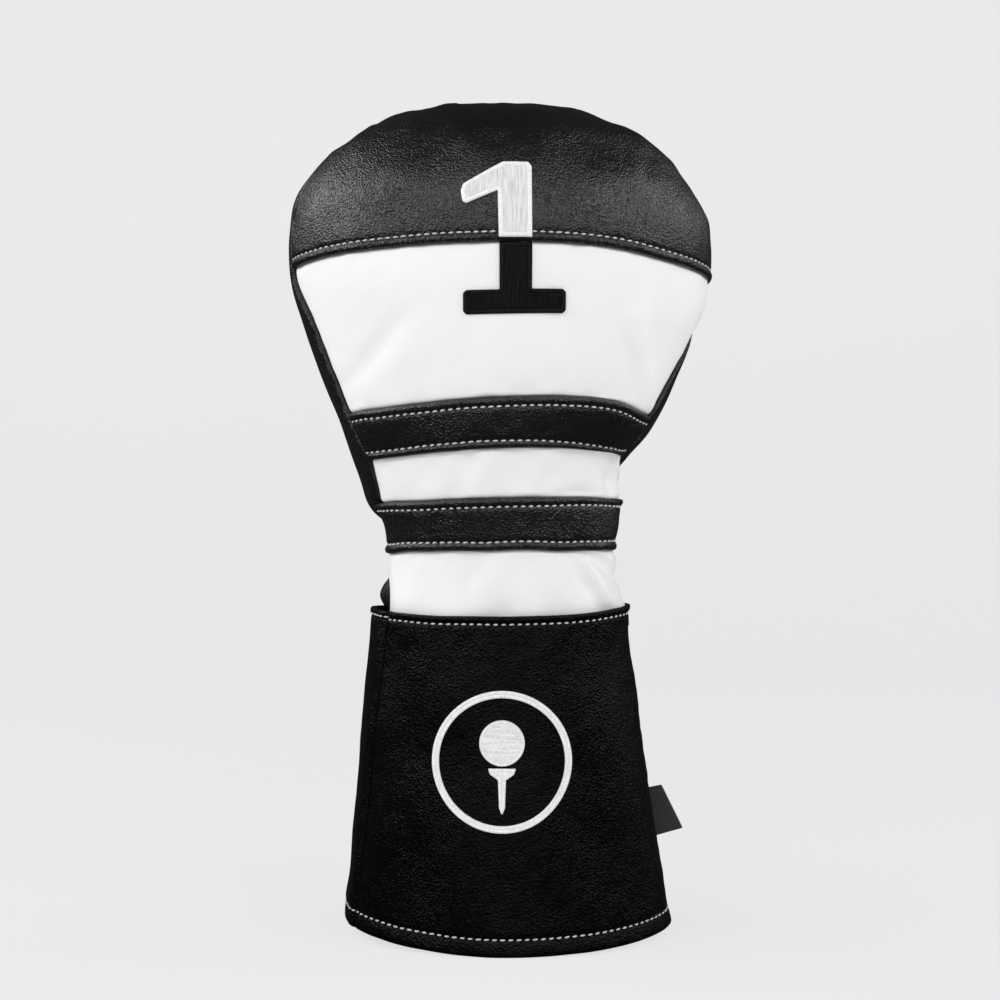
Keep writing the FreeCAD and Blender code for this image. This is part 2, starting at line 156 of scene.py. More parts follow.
fit_left, fit_right, fit_top = table(FIT_LEFT), table(FIT_RIGHT), table(FIT_TOP)
cuff_left, cuff_right = table(CUFF_LEFT), table(CUFF_RIGHT)
slow_a, slow_b, slow_c = waves(11, 62), waves(12, 34), waves(13, 90)
rim = waves(14, 15)


def head_lift(P, N, phi):
    """How far the whole padded wall stands off its plain oval form."""
    x, z = P[..., 0], P[..., 2]
    front = ramp(-N[..., 1], -0.1, 0.45)
    side = 1 - np.abs(N[..., 1])
    side = ramp(side, 0.25, 0.9)
    low = 1 - ramp(z, 262, 284)
    d = side * low * np.where(x < 0, fit_left(z), fit_right(z))
    ang = np.degrees(np.arctan2(x + 0.6, z - 245.0))
    d = d + side * (1 - low) * fit_top(ang)
    d = d + 0.30 * slow_a(P) * ramp(z, 150, 185) + 0.14 * slow_b(P)
    bx, bz = board(P)
    # the white panel's folds near the right side, and the dents it leaves
    d = d - front * 1.5 * bump(bx, bz, 60.0, 228.0, 5.0, 17.0, -14)
    d = d + front * 0.8 * bump(bx, bz, 55.5, 232.0, 2.4, 17.0, -12)
    d = d - front * 0.35 * bump(bx, bz, -61.0, 226.0, 6.0, 11.0, 10)
    d = d - front * 0.35 * bump(bx, bz, 12.0, 210.0, 16.0, 5.0)
    d = d - front * 0.9 * bump(bx, bz, 44.0, 173.5, 5.5, 3.6, -20)
    d = d - front * 0.9 * bump(bx, bz, 42.5, 142.0, 4.2, 6.5, 24)
    d = d - front * 0.5 * bump(bx, bz, 12.0, 176.0, 9.0, 5.0, 12)
    # the crown's flats between its soft corners
    d = d - front * 0.9 * bump(bx, bz, -27.0, 303.0, 11.0, 9.0, 30)
    d = d + front * 0.5 * bump(bx, bz, -14.0, 309.0, 7.0, 9.0, 0)
    d = d - front * 0.7 * bump(bx, bz, 24.0, 296.0, 9.0, 16.0, -8)
    d = d - front * 0.6 * bump(bx, bz, 58.0, 283.0, 11.0, 10.0, -30)
    return d


def cuff_lift(P, N, phi):
    z = P[..., 2]
    x = P[..., 0]
    side = ramp(1 - np.abs(N[..., 1]), 0.25, 0.9)
    d = side * np.where(x < 0, cuff_left(z), cuff_right(z))
    d = d + 0.22 * slow_a(P) + 0.12 * slow_b(P)
    d = d + 0.5 * slow_c(P) * (1 - ramp(z, 20, 90))
    return d


class Form:
    def __init__(self, rows, lift, polar):
        z, a, b, x, y = np.array(rows, float).T
        r = (a + b) / 2
        self.ts = np.concatenate([[0], np.cumsum(np.hypot(np.diff(r), np.diff(z)))])
        self.end = self.ts[-1]
        self.fz, self.fa, self.fb = natural(self.ts, z), natural(self.ts, a), natural(self.ts, b)
        self.fx, self.fy = natural(self.ts, x + SHIFT_X), natural(self.ts, y + SHIFT_Y)
        self.lift, self.polar = lift, polar
        self.tt = np.linspace(0, self.end, 1200)
        self.zz = np.maximum.accumulate(self.fz(self.tt)[0])

    def t_of(self, z):
        return np.interp(z, self.zz, self.tt)

    def raw(self, phi, t):
        (z, dz), (a, da), (b, db) = self.fz(t), self.fa(t), self.fb(t)
        (x, dx), (y, dy) = self.fx(t), self.fy(t)
        s, c = np.sin(phi), np.cos(phi)
        P = np.stack([x + a * s, y - b * c, z + 0 * s], -1)
        pt = np.stack([dx + da * s, dy - db * c, dz + 0 * s], -1)
        pf = np.stack([a * c, b * s, 0 * s], -1)
        N = np.cross(pf, pt)
        top = np.linalg.norm(pf, axis=-1, keepdims=True) < 0.4
        N = np.where(top, np.array([0.0, 0.0, 1.0]), unit(N))
        return P, N

    def at(self, phi, t, off=0.0):
        P, N = self.raw(phi, t)
        d = self.lift(P, N, phi) + off
        return P + N * d[..., None], N

    # a flat chart in which the top of the dome is an ordinary point
    def chart(self, phi, t):
        if not self.polar:
            return np.stack([phi * 60.0, t], -1)
        r = self.end - t
        return np.stack([r * np.sin(phi), -r * np.cos(phi)], -1)

    def unchart(self, Q):
        if not self.polar:
            return Q[..., 0] / 60.0, Q[..., 1]
        return np.arctan2(Q[..., 0], -Q[..., 1]), self.end - np.hypot(Q[..., 0], Q[..., 1])


head, cuff = Form(HEAD, head_lift, True), Form(CUFF, cuff_lift, False)

# --------------------------------------------------------------- side seams
# They lie near one upright plane; the tables say how far they stray from it.
SEAM_LEFT = [(110, -3.4), (167.3, -3.4), (170.7, -4.6), (176.3, -6.6), (182.3, -8.2), (193.4, -7.4), (204.6, -5.5),
             (216.1, -4.7), (227.5, -3.6), (239.1, -1.6), (248.0, 0.9), (256.5, 1.7), (275, 0.6), (300, 0), (330, 0)]
SEAM_RIGHT = [(110, 9), (167, 9), (174, 4), (178, -4), (181.4, -10.5), (185.0, -15), (191.4, -16.0), (198.7, -17.0),
              (207.0, -16.5), (212.6, -15.5), (224.4, -12.4), (231, -9.8), (236, -8.2), (242, -2), (248, 1.6),
              (256, 2.2), (275, 0.6), (300, 0), (330, 0)]
NECK_SEAM = [(110, 7.1), (190, 7.1)]
CUFF_SEAM_LEFT = [(0, -2.3), (22.8, -3.0), (41.8, -3.4), (60.5, -3.6), (78.5, -4.0), (106.3, -5.0), (125, -5.7)]
CUFF_SEAM_RIGHT = [(0, -3.2), (125, -3.2)]
seam_tables = {"head": (table(SEAM_LEFT), table(SEAM_RIGHT)), "cuff": (table(CUFF_SEAM_LEFT), table(CUFF_SEAM_RIGHT)),
               "neck": (table(NECK_SEAM), table(NECK_SEAM))}


def seam_phi(form, t, side, neck=False):
    """Angle of the side seam at level t: side -1 left, +1 right."""
    t = np.asarray(t, float)
    tab = seam_tables["neck" if neck else "head" if form is head else "cuff"][0 if side < 0 else 1]
    lo, hi = np.full(t.shape, math.radians(2.0)), np.full(t.shape, math.radians(170.0))
    for _ in range(44):
        mid = (lo + hi) / 2
        P, _n = form.raw(mid * side, t)
        f = P[..., 1] - (tab(P[..., 2]) + (0 if neck else -3.4 + 0.14 * P[..., 0]))
        lo, hi = np.where(f < 0, mid, lo), np.where(f < 0, hi, mid)
    return side * (lo + hi) / 2


def seam_top(form):
    """The level where the left and right seams meet over the top."""
    lo, hi = form.end - 60.0, form.end - 0.05
    for _ in range(50):
        mid = (lo + hi) / 2
        P, _n = form.raw(np.array(0.0), np.array(mid))
        if P[1] < -3.4 + 0.14 * P[0]:
            lo = mid
        else:
            hi = mid
    return (lo + hi) / 2


class Line:
    """A curve on a form, evenly measured: at(s) gives chart points, s from 0 to 1."""

    def __init__(self, form, phi, t, n=500):
        P, _n = form.at(phi, t)
        d = np.concatenate([[0], np.cumsum(np.linalg.norm(np.diff(P, axis=0), axis=1))])
        self.length = d[-1]
        self.form = form
        Q = form.chart(phi, t)
        s = np.linspace(0, 1, n)
        self.s = s
        self.q = np.stack([np.interp(s * d[-1], d, Q[:, 0]), np.interp(s * d[-1], d, Q[:, 1])], -1)

    def at(self, s):
        return np.stack([np.interp(s, self.s, self.q[:, 0]), np.interp(s, self.s, self.q[:, 1])], -1)


ARCH_FIX = {
    "crown": table([(-62, 0.15), (-54, -0.15), (-43, -0.35), (-22, -0.32), (-14, -0.25), (0, 0.2), (15, 0.75), (27, 1.25), (43, 1.55), (54, 1.2),
                    (62, 0.95), (68, 0.95)]),
    "band_a_top": table([(-51, -0.7), (-46, -1.17), (-37, -1.35), (-28, -1.46), (-20, -1.13), (-11, -0.84), (-2, -0.47), (6.6, 0.07),
                         (11, 0.4), (20, 1.1), (28.5, 1.68), (37, 2.27), (42, 2.3), (46, 2.0), (51, 0.9), (54, 0.3)]),
    "band_a_low": table([(-47, 0.5), (-38, 0.1), (-27, 0.0), (-14, 0.0), (-7, 0.2), (0, 0.35), (14, 0.75), (26.5, 1.05), (38, 1.3), (42, 1.3), (45, 0.9)]),
    "band_b_top": table([(-40, -0.2), (-37, -0.37), (-22, -0.62), (-7, -0.5), (7, -0.37), (22, 0), (29, 0.3), (37, 0.33), (42, 0.2)]),
    "band_b_low": table([(-40, 0.1), (-37, 0.5), (-29, 0.55), (-15, 0.35), (-7, 0), (0, 0.1), (15, 0), (22, -0.4), (30, -0.25), (37, -0.3),
                         (41, -0.3)]),
}


def arch_z(name, x, up=0.0):
    r, cx, cz = ARCH[name]
    fix = ARCH_FIX[name](np.asarray(x, float)) if name in ARCH_FIX else 0.0
    return cz + np.sqrt((r + up) ** 2 - (x - cx - SHIFT_X) ** 2) + fix


def cross_curve(form, where, phis=None, n=400, z0=None, front=True, neck=False):
    """A curve round the form at the height where(x), from seam to seam.

    front: left seam to right seam over the front; otherwise right to left over
    the back.
    """
    u = np.linspace(0, 1, n)
    t = np.full(n, float(form.t_of(z0)))
    for _ in range(40):
        if phis is None:
            a, b = seam_phi(form, t, -1, neck), seam_phi(form, t, 1, neck)
        else:
            a, b = phis
        if front:
            phi = a + (b - a) * u
        else:
            phi = b + (a + 2 * math.pi - b) * u
        P, _n = form.at(phi, t)
        err = where(P[:, 0]) - P[:, 2]
        t = t + np.clip(err * 0.8, -6, 6)
    return phi, t


def seam_curve(form, side, t0, t1, n=300, neck=False):
    t = np.linspace(t0, t1, n)
    return seam_phi(form, t, side, neck), t


# ------------------------------------------------------------------- patches
# edge profiles: distance from the edge, height of the skin, in millimetres
ROLL = [(0.0, -1.1), (-0.2, -0.5), (-0.3, 0.1), (-0.24, 0.7), (0.02, 1.25), (0.42, 1.66), (0.95, 1.9), (1.6, 1.95),
        (2.2, 1.72), (2.7, 1.34), (3.05, 1.16), (3.4, 1.26), (4.0, 1.5), (4.8, 1.62)]
TUCK = [(0.0, -1.1), (0.12, -0.8), (0.35, -0.5), (0.75, -0.22), (1.4, -0.06), (2.2, 0.0)]
PLAIN = [(0.0, 0.0), (1.0, 0.0)]
GROOVE = [(0.0, 1.25), (0.12, 0.86), (0.35, 0.52), (0.7, 0.26), (1.2, 0.09), (2.0, 0.0)]
FINE = [0.0, 0.12, 0.35, 0.7, 1.2, 2.0, 3.0]


def tfi(left, right, bottom, top, U, V, hold=1):
    """Blend four sides; a larger hold keeps the bends of left and right near them."""
    L, R, B, T = left.at(V), right.at(V), bottom.at(U), top.at(U)
    u, v = np.clip(U, 0, 1)[..., None], V[..., None]
    b0, b1, t0, t1 = bottom.at(0.0), bottom.at(1.0), top.at(0.0), top.at(1.0)
    return ((1 - v) * B + v * T + (1 - u) ** hold * (L - (1 - v) * b0 - v * t0) + u ** hold * (R - (1 - v) * b1 - v * t1))


class Patch:
    """A grid over a four-sided piece of a form, with fine rows at its edges."""

    def __init__(self, form, left, right, bottom, top, low=PLAIN, high=PLAIN, step=1.2, step_v=None, fine=FINE, hold=1):
        self.form = form
        c = np.linspace(0, 1, 25)
        U, V = np.meshgrid(c, c)
        phi, t = form.unchart(tfi(left, right, bottom, top, U, V, hold))
        P, _n = form.at(phi, t)
        wide = np.linalg.norm(np.diff(P, axis=1), axis=2).sum(1)
        tall = np.linalg.norm(np.diff(P, axis=0), axis=2).sum(0)
        step_v = step_v or step
        e = np.array(fine)
        mid = max(int((wide.max() - 2 * e[-1]) / step), 4)
        un = np.concatenate([e / wide.mean(), np.linspace(e[-1] / wide.mean(), 1 - e[-1] / wide.mean(), mid + 1)[1:-1],
                             1 - e[::-1] / wide.mean()])
        lo, hi = np.array(low, float), np.array(high, float)
        n_mid = max(int((tall.max() - lo[-1, 0] - hi[-1, 0]) / step_v), 3)
        rows = len(lo) + n_mid - 1 + len(hi)
        cols = len(un)
        tj = np.interp(un, c, tall)
        squeeze = np.minimum(1.0, tj / (1.3 * (lo[-1, 0] + hi[-1, 0]) + 0.01))
        V = np.zeros((rows, cols))
        V[:len(lo)] = lo[:, :1] * squeeze / tj
        V[rows - len(hi):] = (1 - hi[:, :1] * squeeze / tj)[::-1]
        a, b = V[len(lo) - 1], V[rows - len(hi)]
        for k in range(1, n_mid):
            V[len(lo) - 1 + k] = a + (b - a) * k / n_mid
        wi = np.interp(np.clip(V, 0, 1), c, wide)
        U = np.zeros((rows, cols))
        ne = len(e)
        squeeze_u = np.minimum(1.0, wi / (2.6 * e[-1]))
        for j in range(ne):
            U[:, j] = e[j] * squeeze_u[:, j] / wi[:, j]
            U[:, cols - 1 - j] = 1 - e[j] * squeeze_u[:, cols - 1 - j] / wi[:, cols - 1 - j]
        a, b = U[:, ne - 1], U[:, cols - ne]
        for k in range(1, mid):
            U[:, ne - 1 + k] = a + (b - a) * k / mid
        self.U, self.V = U, V
        Vc = np.clip(V, 0, 1)
        Q = tfi(left, right, bottom, top, U, Vc, hold)
        over = (V - Vc) * tj
        self.phi, self.t = form.unchart(Q)
        self.sl, self.sr = U * wi, (1 - U) * wi
        self.sb, self.st = V * tj, (1 - V) * tj
        self.edge_off = np.full((rows, cols), np.nan)
        self.edge_off[:len(lo)] = lo[:, 1:2]
        self.edge_off[rows - len(hi):] = hi[::-1, 1:2]
        self.over = over
        self.n_low, self.n_high, self.rows, self.cols = len(lo), len(hi), rows, cols
        self.low, self.high = lo, hi

    def skin(self, off):
        """Outer points at heights off (rows x cols), with the edges rolled over."""
        P, N = self.form.at(self.phi, self.t, off)
        if np.abs(self.over).max() > 0:
            up = np.zeros_like(P)
            up[1:-1] = unit(P[2:] - P[:-2])
            k = self.n_low + 1
            up[:self.n_low] = unit(P[k + 1] - P[k])[None]
            up[self.rows - self.n_high:] = unit(P[self.rows - k - 1] - P[self.rows - k - 2])[None]
            P = P + up * self.over[..., None]
        return P, N

    def heights(self, level, groove=True, sides=(True, True), top=False, low_keep=1.0, high_keep=1.0):
        """level is the open skin's height; edge profiles blend into it."""
        off = np.broadcast_to(np.asarray(level, float), (self.rows, self.cols)).copy()
        lo_end, hi_end = self.low[-1, 1], self.high[-1, 1]
        for i in range(self.n_low):
            off[i] = off[i] + (self.low[i, 1] - lo_end)
        for i in range(self.n_high):
            r = self.rows - 1 - i
            off[r] = off[r] + (self.high[i, 1] - hi_end)
        if groove:
            g = np.array(GROOVE)
            if sides[0]:
                off = off - np.interp(self.sl, g[:, 0], g[:, 1])
            if sides[1]:
                off = off - np.interp(self.sr, g[:, 0], g[:, 1])
            if top:
                off = off - np.interp(self.st, g[:, 0], g[:, 1])
        return off


def shell(patch, off, inner=-1.35, floor_gap=0.25):
    """Closed shell: outer skin at off and a plain inner skin."""
    P, N = patch.skin(off)
    rows, cols = patch.rows, patch.cols
    keep = [0]
    for i in range(1, rows - 1):
        s = patch.V[i].mean() * 1.0
        if i < patch.n_low and patch.low[i, 0] < 0.45:
            continue
        if i >= rows - patch.n_high and patch.high[rows - 1 - i, 0] < 0.45:
            continue
        if i % 2 and patch.n_low <= i < rows - patch.n_high:
            continue
        keep.append(i)
    keep.append(rows - 1)
    inner_off = np.minimum(np.full((len(keep), cols), inner, float), off[keep] - floor_gap)
    Pi, _n = patch.form.at(patch.phi[keep], patch.t[keep], inner_off)
    n_out = rows * cols
    verts = np.concatenate([P.reshape(-1, 3), Pi.reshape(-1, 3)])
    faces = []
    idx = np.arange(n_out).reshape(rows, cols)
    a, b, c, d = idx[:-1, :-1], idx[:-1, 1:], idx[1:, 1:], idx[1:, :-1]
    faces += np.stack([a, b, c, d], -1).reshape(-1, 4).tolist()
    jd = np.arange(len(keep) * cols).reshape(len(keep), cols) + n_out
    a, b, c, d = jd[:-1, :-1], jd[:-1, 1:], jd[1:, 1:], jd[1:, :-1]
    faces += np.stack([d, c, b, a], -1).reshape(-1, 4).tolist()
    for j in range(cols - 1):
        faces.append([idx[0, j + 1], idx[0, j], jd[0, j], jd[0, j + 1]])
        faces.append([idx[-1, j], idx[-1, j + 1], jd[-1, j + 1], jd[-1, j]])
    for k in range(len(keep) - 1):
        i0, i1 = keep[k], keep[k + 1]
        left = [idx[i, 0] for i in range(i0, i1 + 1)] + [jd[k + 1, 0], jd[k, 0]]
        right = [idx[i, cols - 1] for i in range(i1, i0 - 1, -1)] + [jd[k, cols - 1], jd[k + 1, cols - 1]]
        faces.append(left)
        faces.append(right)
    return verts, faces


# FORM-END

# ================================================================ materials
def new_material(name):
    m = bpy.data.materials.new(name)
    m.use_nodes = True
    nt = m.node_tree
    nt.nodes.clear()
    out = nt.nodes.new("ShaderNodeOutputMaterial")
    bsdf = nt.nodes.new("ShaderNodeBsdfPrincipled")
    nt.links.new(bsdf.outputs[0], out.inputs[0])
    return m, nt, bsdf


class Net:
    """Short hand for node trees."""

    def __init__(self, nt):
        self.nt = nt

    def node(self, kind, ins=None, **props):
        n = self.nt.nodes.new(kind)
        for k, v in props.items():
            setattr(n, k, v)
        for k, v in (ins or {}).items():
            if isinstance(v, bpy.types.NodeSocket):
                self.nt.links.new(v, n.inputs[k])
            else:
                n.inputs[k].default_value = v
        return n

    def math(self, op, a, b=0.0, c=0.0):
        return self.node("ShaderNodeMath", {0: a, 1: b, 2: c}, operation=op).outputs[0]

    def coords(self, scale=(1, 1, 1), turn=(0, 0, 0)):
        tc = self.node("ShaderNodeTexCoord")
        return self.node("ShaderNodeMapping", {"Vector": tc.outputs["Object"], "Scale": scale, "Rotation": turn}).outputs[0]

    def noise(self, vec, scale, detail=2.0, rough=0.5, distort=0.0):
        return self.node("ShaderNodeTexNoise", {"Vector": vec, "Scale": scale, "Detail": detail, "Roughness": rough,
                                                "Distortion": distort}).outputs["Fac"]

    def spread(self, v, a, b, c, d):
        return self.node("ShaderNodeMapRange", {"Value": v, "From Min": a, "From Max": b, "To Min": c, "To Max": d}).outputs[0]

    def bump(self, height, strength, dist, normal=None):
        ins = {"Height": height, "Strength": strength, "Distance": dist}
        if normal is not None:
            ins["Normal"] = normal
        return self.node("ShaderNodeBump", ins).outputs[0]

    def mix(self, fac, a, b):
        return self.node("ShaderNodeMix", {0: fac, 6: a, 7: b}, data_type="RGBA").outputs[2]


def leather(name, colour, lighter, rough, cell, depth, crease, spec=0.5):
    """Coated leather: pebbles, fine pores, and slow creases that vary the gloss."""
    m, nt, bsdf = new_material(name)
    n = Net(nt)
    v = n.coords()
    warp = n.node("ShaderNodeTexNoise", {"Vector": v, "Scale": 260.0, "Detail": 2.0})
    shift = n.node("ShaderNodeVectorMath", {0: warp.outputs["Color"], 1: (0.5, 0.5, 0.5)}, operation="SUBTRACT").outputs[0]
    shift = n.node("ShaderNodeVectorMath", {0: shift, "Scale": 0.0016}, operation="SCALE").outputs[0]
    vv = n.node("ShaderNodeVectorMath", {0: v, 1: shift}, operation="ADD").outputs[0]
    cells = n.node("ShaderNodeTexVoronoi", {"Vector": vv, "Scale": cell, "Randomness": 1.0}, feature="SMOOTH_F1")
    cells.inputs["Smoothness"].default_value = 0.35
    pebble = n.spread(cells.outputs["Distance"], 0.05, 0.62, 1.0, 0.0)
    big = n.node("ShaderNodeTexVoronoi", {"Vector": vv, "Scale": cell * 0.42}, feature="DISTANCE_TO_EDGE")
    valley = n.spread(big.outputs["Distance"], 0.0, 0.16, 0.0, 1.0)
    fine = n.noise(v, 2600.0, 3.0, 0.6)
    slow = n.noise(v, 38.0, 3.0, 0.55)
    creases = n.noise(n.coords((1.0, 1.0, 0.55)), 150.0, 4.0, 0.62, 0.6)
    grown = n.spread(n.noise(v, 55.0, 2.0), 0.35, 0.7, 0.45, 1.0)
    h = n.math("MULTIPLY_ADD", fine, 0.12, n.math("MULTIPLY_ADD", valley, 0.22, n.math("MULTIPLY", pebble, grown)))
    b1 = n.bump(creases, crease, 0.0011)
    b2 = n.bump(h, depth, 0.00042, b1)
    nt.links.new(b2, bsdf.inputs["Normal"])
    # lighter on the pebble tops and darker in the valleys between them: painted shade in the pores; the slow noise
    # varies it at random
    fac = n.math("MULTIPLY", n.spread(pebble, 0.2, 1.0, 0.0, 1.0), n.spread(slow, 0.3, 0.7, 0.35, 1.0))
    nt.links.new(n.mix(fac, (*colour, 1), (*lighter, 1)), bsdf.inputs["Base Color"])
    r = n.math("MULTIPLY_ADD", slow, 0.16, n.math("MULTIPLY_ADD", pebble, -0.10, rough))
    nt.links.new(r, bsdf.inputs["Roughness"])
    bsdf.inputs["Specular IOR Level"].default_value = spec
    return m


def thread_mat(name, colour, dark, rough=0.6, scale=2600.0, sheen=0.3):
    """Twisted thread: fibres run round it, and some lie darker."""
    m, nt, bsdf = new_material(name)
    n = Net(nt)
    v = n.coords()
    f = n.noise(v, scale, 3.0, 0.6)
    g = n.noise(v, 700.0, 2.0)
    tone = n.spread(n.math("MULTIPLY_ADD", f, 0.6, n.math("MULTIPLY", g, 0.4)), 0.35, 0.65, 0.0, 1.0)
    nt.links.new(n.mix(tone, (*dark, 1), (*colour, 1)), bsdf.inputs["Base Color"])
    nt.links.new(n.bump(f, 0.5, 0.00008), bsdf.inputs["Normal"])
    bsdf.inputs["Roughness"].default_value = rough
    bsdf.inputs["Sheen Weight"].default_value = sheen
    bsdf.inputs["Sheen Roughness"].default_value = 0.5
    return m


def satin_mat(name, colour, dark, fill, rough, spec=0.4):
    """Embroidery: threads that catch the light, the filling a little deeper than the border; painted shade darkens the
    colour between the threads and over the filling.
    """
    m, nt, bsdf = new_material(name)
    n = Net(nt)
    tone = n.node("ShaderNodeAttribute", attribute_name="tone").outputs["Fac"]
    uv = n.node("ShaderNodeUVMap", uv_map="thread").outputs[0]
    sep = n.node("ShaderNodeSeparateXYZ", {0: uv})
    lay = n.node("ShaderNodeCombineXYZ", {0: n.math("MULTIPLY", sep.outputs[0], 1.5), 1: n.math("MULTIPLY", sep.outputs[1], 0.11)}).outputs[0]
    strands = n.noise(lay, 1.0, 3.0, 0.62)
    breaks = n.noise(n.node("ShaderNodeCombineXYZ", {0: n.math("MULTIPLY", sep.outputs[0], 0.5), 1: n.math("MULTIPLY", sep.outputs[1], 0.22)}).outputs[0], 1.0, 2.0)
    level = n.spread(strands, 0.36, 0.6, 0.0, 1.0)
    level = n.math("MULTIPLY_ADD", n.spread(breaks, 0.35, 0.6, 0.0, 0.45), n.math("SUBTRACT", 1.0, level), level)
    # painted shade: the colour goes to dark in the valleys between the threads
    base = n.mix(level, (*dark, 1), (*colour, 1))
    # painted shade over the filling: where tone marks it, the colour goes to fill, most between the threads
    base = n.mix(n.math("MULTIPLY", tone, n.spread(level, 0.0, 1.0, 0.85, 0.25)), base, (*fill, 1))
    nt.links.new(base, bsdf.inputs["Base Color"])
    nt.links.new(n.bump(strands, 0.35, 0.00012), bsdf.inputs["Normal"])
    bsdf.inputs["Roughness"].default_value = rough
    bsdf.inputs["Specular IOR Level"].default_value = spec
    return m


def cloth_mat(name, colour, dark, scale, ribs=None, rough=0.85, pile=0.6):
    m, nt, bsdf = new_material(name)
    n = Net(nt)
    v = n.coords(ribs or (1, 1, 1))
    a = n.noise(v, scale, 4.0, 0.65)
    b = n.noise(n.coords(), scale * 0.12, 3.0)
    mixf = n.spread(n.math("MULTIPLY_ADD", a, 0.7, n.math("MULTIPLY", b, 0.3)), 0.35, 0.65, 0.0, 1.0)
    nt.links.new(n.mix(mixf, (*dark, 1), (*colour, 1)), bsdf.inputs["Base Color"])
    nt.links.new(n.bump(a, pile, 0.0006), bsdf.inputs["Normal"])
    bsdf.inputs["Roughness"].default_value = rough
    bsdf.inputs["Sheen Weight"].default_value = 0.4
    return m


def woven_mat(name, colour, dark):
    """Ribbon: crossing warp and weft in the ribbon's own directions."""
    m, nt, bsdf = new_material(name)
    n = Net(nt)
    uv = n.node("ShaderNodeUVMap", uv_map="thread").outputs[0]
    sep = n.node("ShaderNodeSeparateXYZ", {0: uv})
    u = n.math("SINE", n.math("MULTIPLY", sep.outputs[0], 6.2832 / 0.42))
    w = n.math("SINE", n.math("MULTIPLY", sep.outputs[1], 6.2832 / 0.30))
    h = n.math("MULTIPLY", u, w)
    f = n.noise(n.coords(), 1500.0, 3.0)
    nt.links.new(n.mix(n.spread(h, -1.0, 1.0, 0.0, 1.0), (*dark, 1), (*colour, 1)), bsdf.inputs["Base Color"])
    nt.links.new(n.bump(n.math("MULTIPLY_ADD", f, 0.5, h), 0.55, 0.00012), bsdf.inputs["Normal"])
    bsdf.inputs["Roughness"].default_value = 0.6
    bsdf.inputs["Sheen Weight"].default_value = 0.3
    return m


BLACK = leather("black_leather", (0.0030, 0.0030, 0.0033), (0.0050, 0.0050, 0.0053), 0.29, 1180.0, 0.66, 0.26, 0.58)
# the cuff's copy of the black leather, base colour and specular turned down: painted shade
CUFF_BLACK_PAINTED_SHADE = leather("black_cuff_leather_painted_shade", (0.0004, 0.0004, 0.0005), (0.0010, 0.0010, 0.0011), 0.29, 1180.0, 0.62, 0.26, 0.14)
WHITE = leather("white_leather", (0.875, 0.875, 0.872), (0.90, 0.90, 0.897), 0.44, 1250.0, 0.10, 0.10)
THREAD = thread_mat("topstitch_thread", (0.66, 0.65, 0.63), (0.40, 0.39, 0.38))
# second colour: painted shade between the threads; third colour: painted shade over the filling
SATIN_WHITE = satin_mat("white_embroidery", (0.90, 0.90, 0.90), (0.72, 0.72, 0.73), (0.50, 0.51, 0.53), 0.5)
SATIN_BLACK = satin_mat("black_embroidery", (0.010, 0.010, 0.011), (0.0025, 0.0025, 0.003), (0.001, 0.001, 0.0012), 0.6, 0.10)
FLEECE = cloth_mat("fleece_lining", (0.20, 0.20, 0.205), (0.10, 0.10, 0.105), 900.0)
LINING = cloth_mat("cuff_lining", (0.035, 0.035, 0.038), (0.016, 0.016, 0.018), 1600.0, pile=0.35)
FOAM = cloth_mat("foam_padding", (0.45, 0.45, 0.42), (0.25, 0.25, 0.23), 1400.0, pile=0.8)
ELASTIC = cloth_mat("elastic_tape", (0.05, 0.05, 0.05), (0.015, 0.015, 0.015), 500.0, ribs=(1, 1, 5), pile=0.6)
WOVEN = woven_mat("woven_tab", (0.022, 0.022, 0.024), (0.006, 0.006, 0.007))


# ============================================================== mesh helpers
def make(name, verts, faces, material, nodes=(), slot=None, body="cover", uv=None, tone=None):
    """A piece from millimetre points. nodes are the CAD nodes it stands for."""
    me = bpy.data.meshes.new(name)
    me.from_pydata((np.asarray(verts, float) * MM).tolist(), [], faces)
    me.update()
    me.validate(verbose=False)
    me.polygons.foreach_set("use_smooth", np.ones(len(me.polygons), bool))
    if uv is not None:
        layer = me.uv_layers.new(name="thread")
        li = np.zeros(len(me.loops), np.int32)
        me.loops.foreach_get("vertex_index", li)
        layer.data.foreach_set("uv", np.asarray(uv, np.float32)[li].ravel())
    if tone is not None:
        at = me.attributes.new("tone", "FLOAT", "POINT")
        at.data.foreach_set("value", np.asarray(tone, np.float32))
    me.materials.append(material)
    ob = bpy.data.objects.new(name, me)
    bpy.context.scene.collection.objects.link(ob)
    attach(ob, body)
    if nodes:
        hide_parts(*nodes)
    return ob


def merge(parts):
    """Several (verts, faces) as one."""
    vs, fs, n = [], [], 0
    for v, f in parts:
        vs.append(np.asarray(v, float))
        fs += [[i + n for i in q] for q in f]
        n += len(v)
    return np.concatenate(vs), fs


# ================================================================= boundaries
TOP_CORNER = head.t_of(297.0)
PEAK = seam_top(head)


def level(z, form=head):
    return float(form.t_of(z))


def side_line(side, t0, t1, neck=False, form=head):
    return Line(form, *seam_curve(form, side, t0, t1, neck=neck))


def over_top(reverse=False):
    """The seam over the crown, from the left corner to the right one."""
    u = np.linspace(0, 1, 700)
    t = TOP_CORNER + (PEAK - TOP_CORNER) * np.sin(u * math.pi / 2)
    a, b = seam_phi(head, t, -1), seam_phi(head, t, 1)
    phi, tt = np.concatenate([a, b[::-1]]), np.concatenate([t, t[::-1]])
    if reverse:
        phi, tt = phi[::-1], tt[::-1]
    return Line(head, phi, tt, 900)


def arch_line(name, neck=False):
    phi, t = cross_curve(head, lambda x: arch_z(name, x), z0=arch_z(name, 0.0), neck=neck)
    return Line(head, phi, t), (phi[0], t[0]), (phi[-1], t[-1])


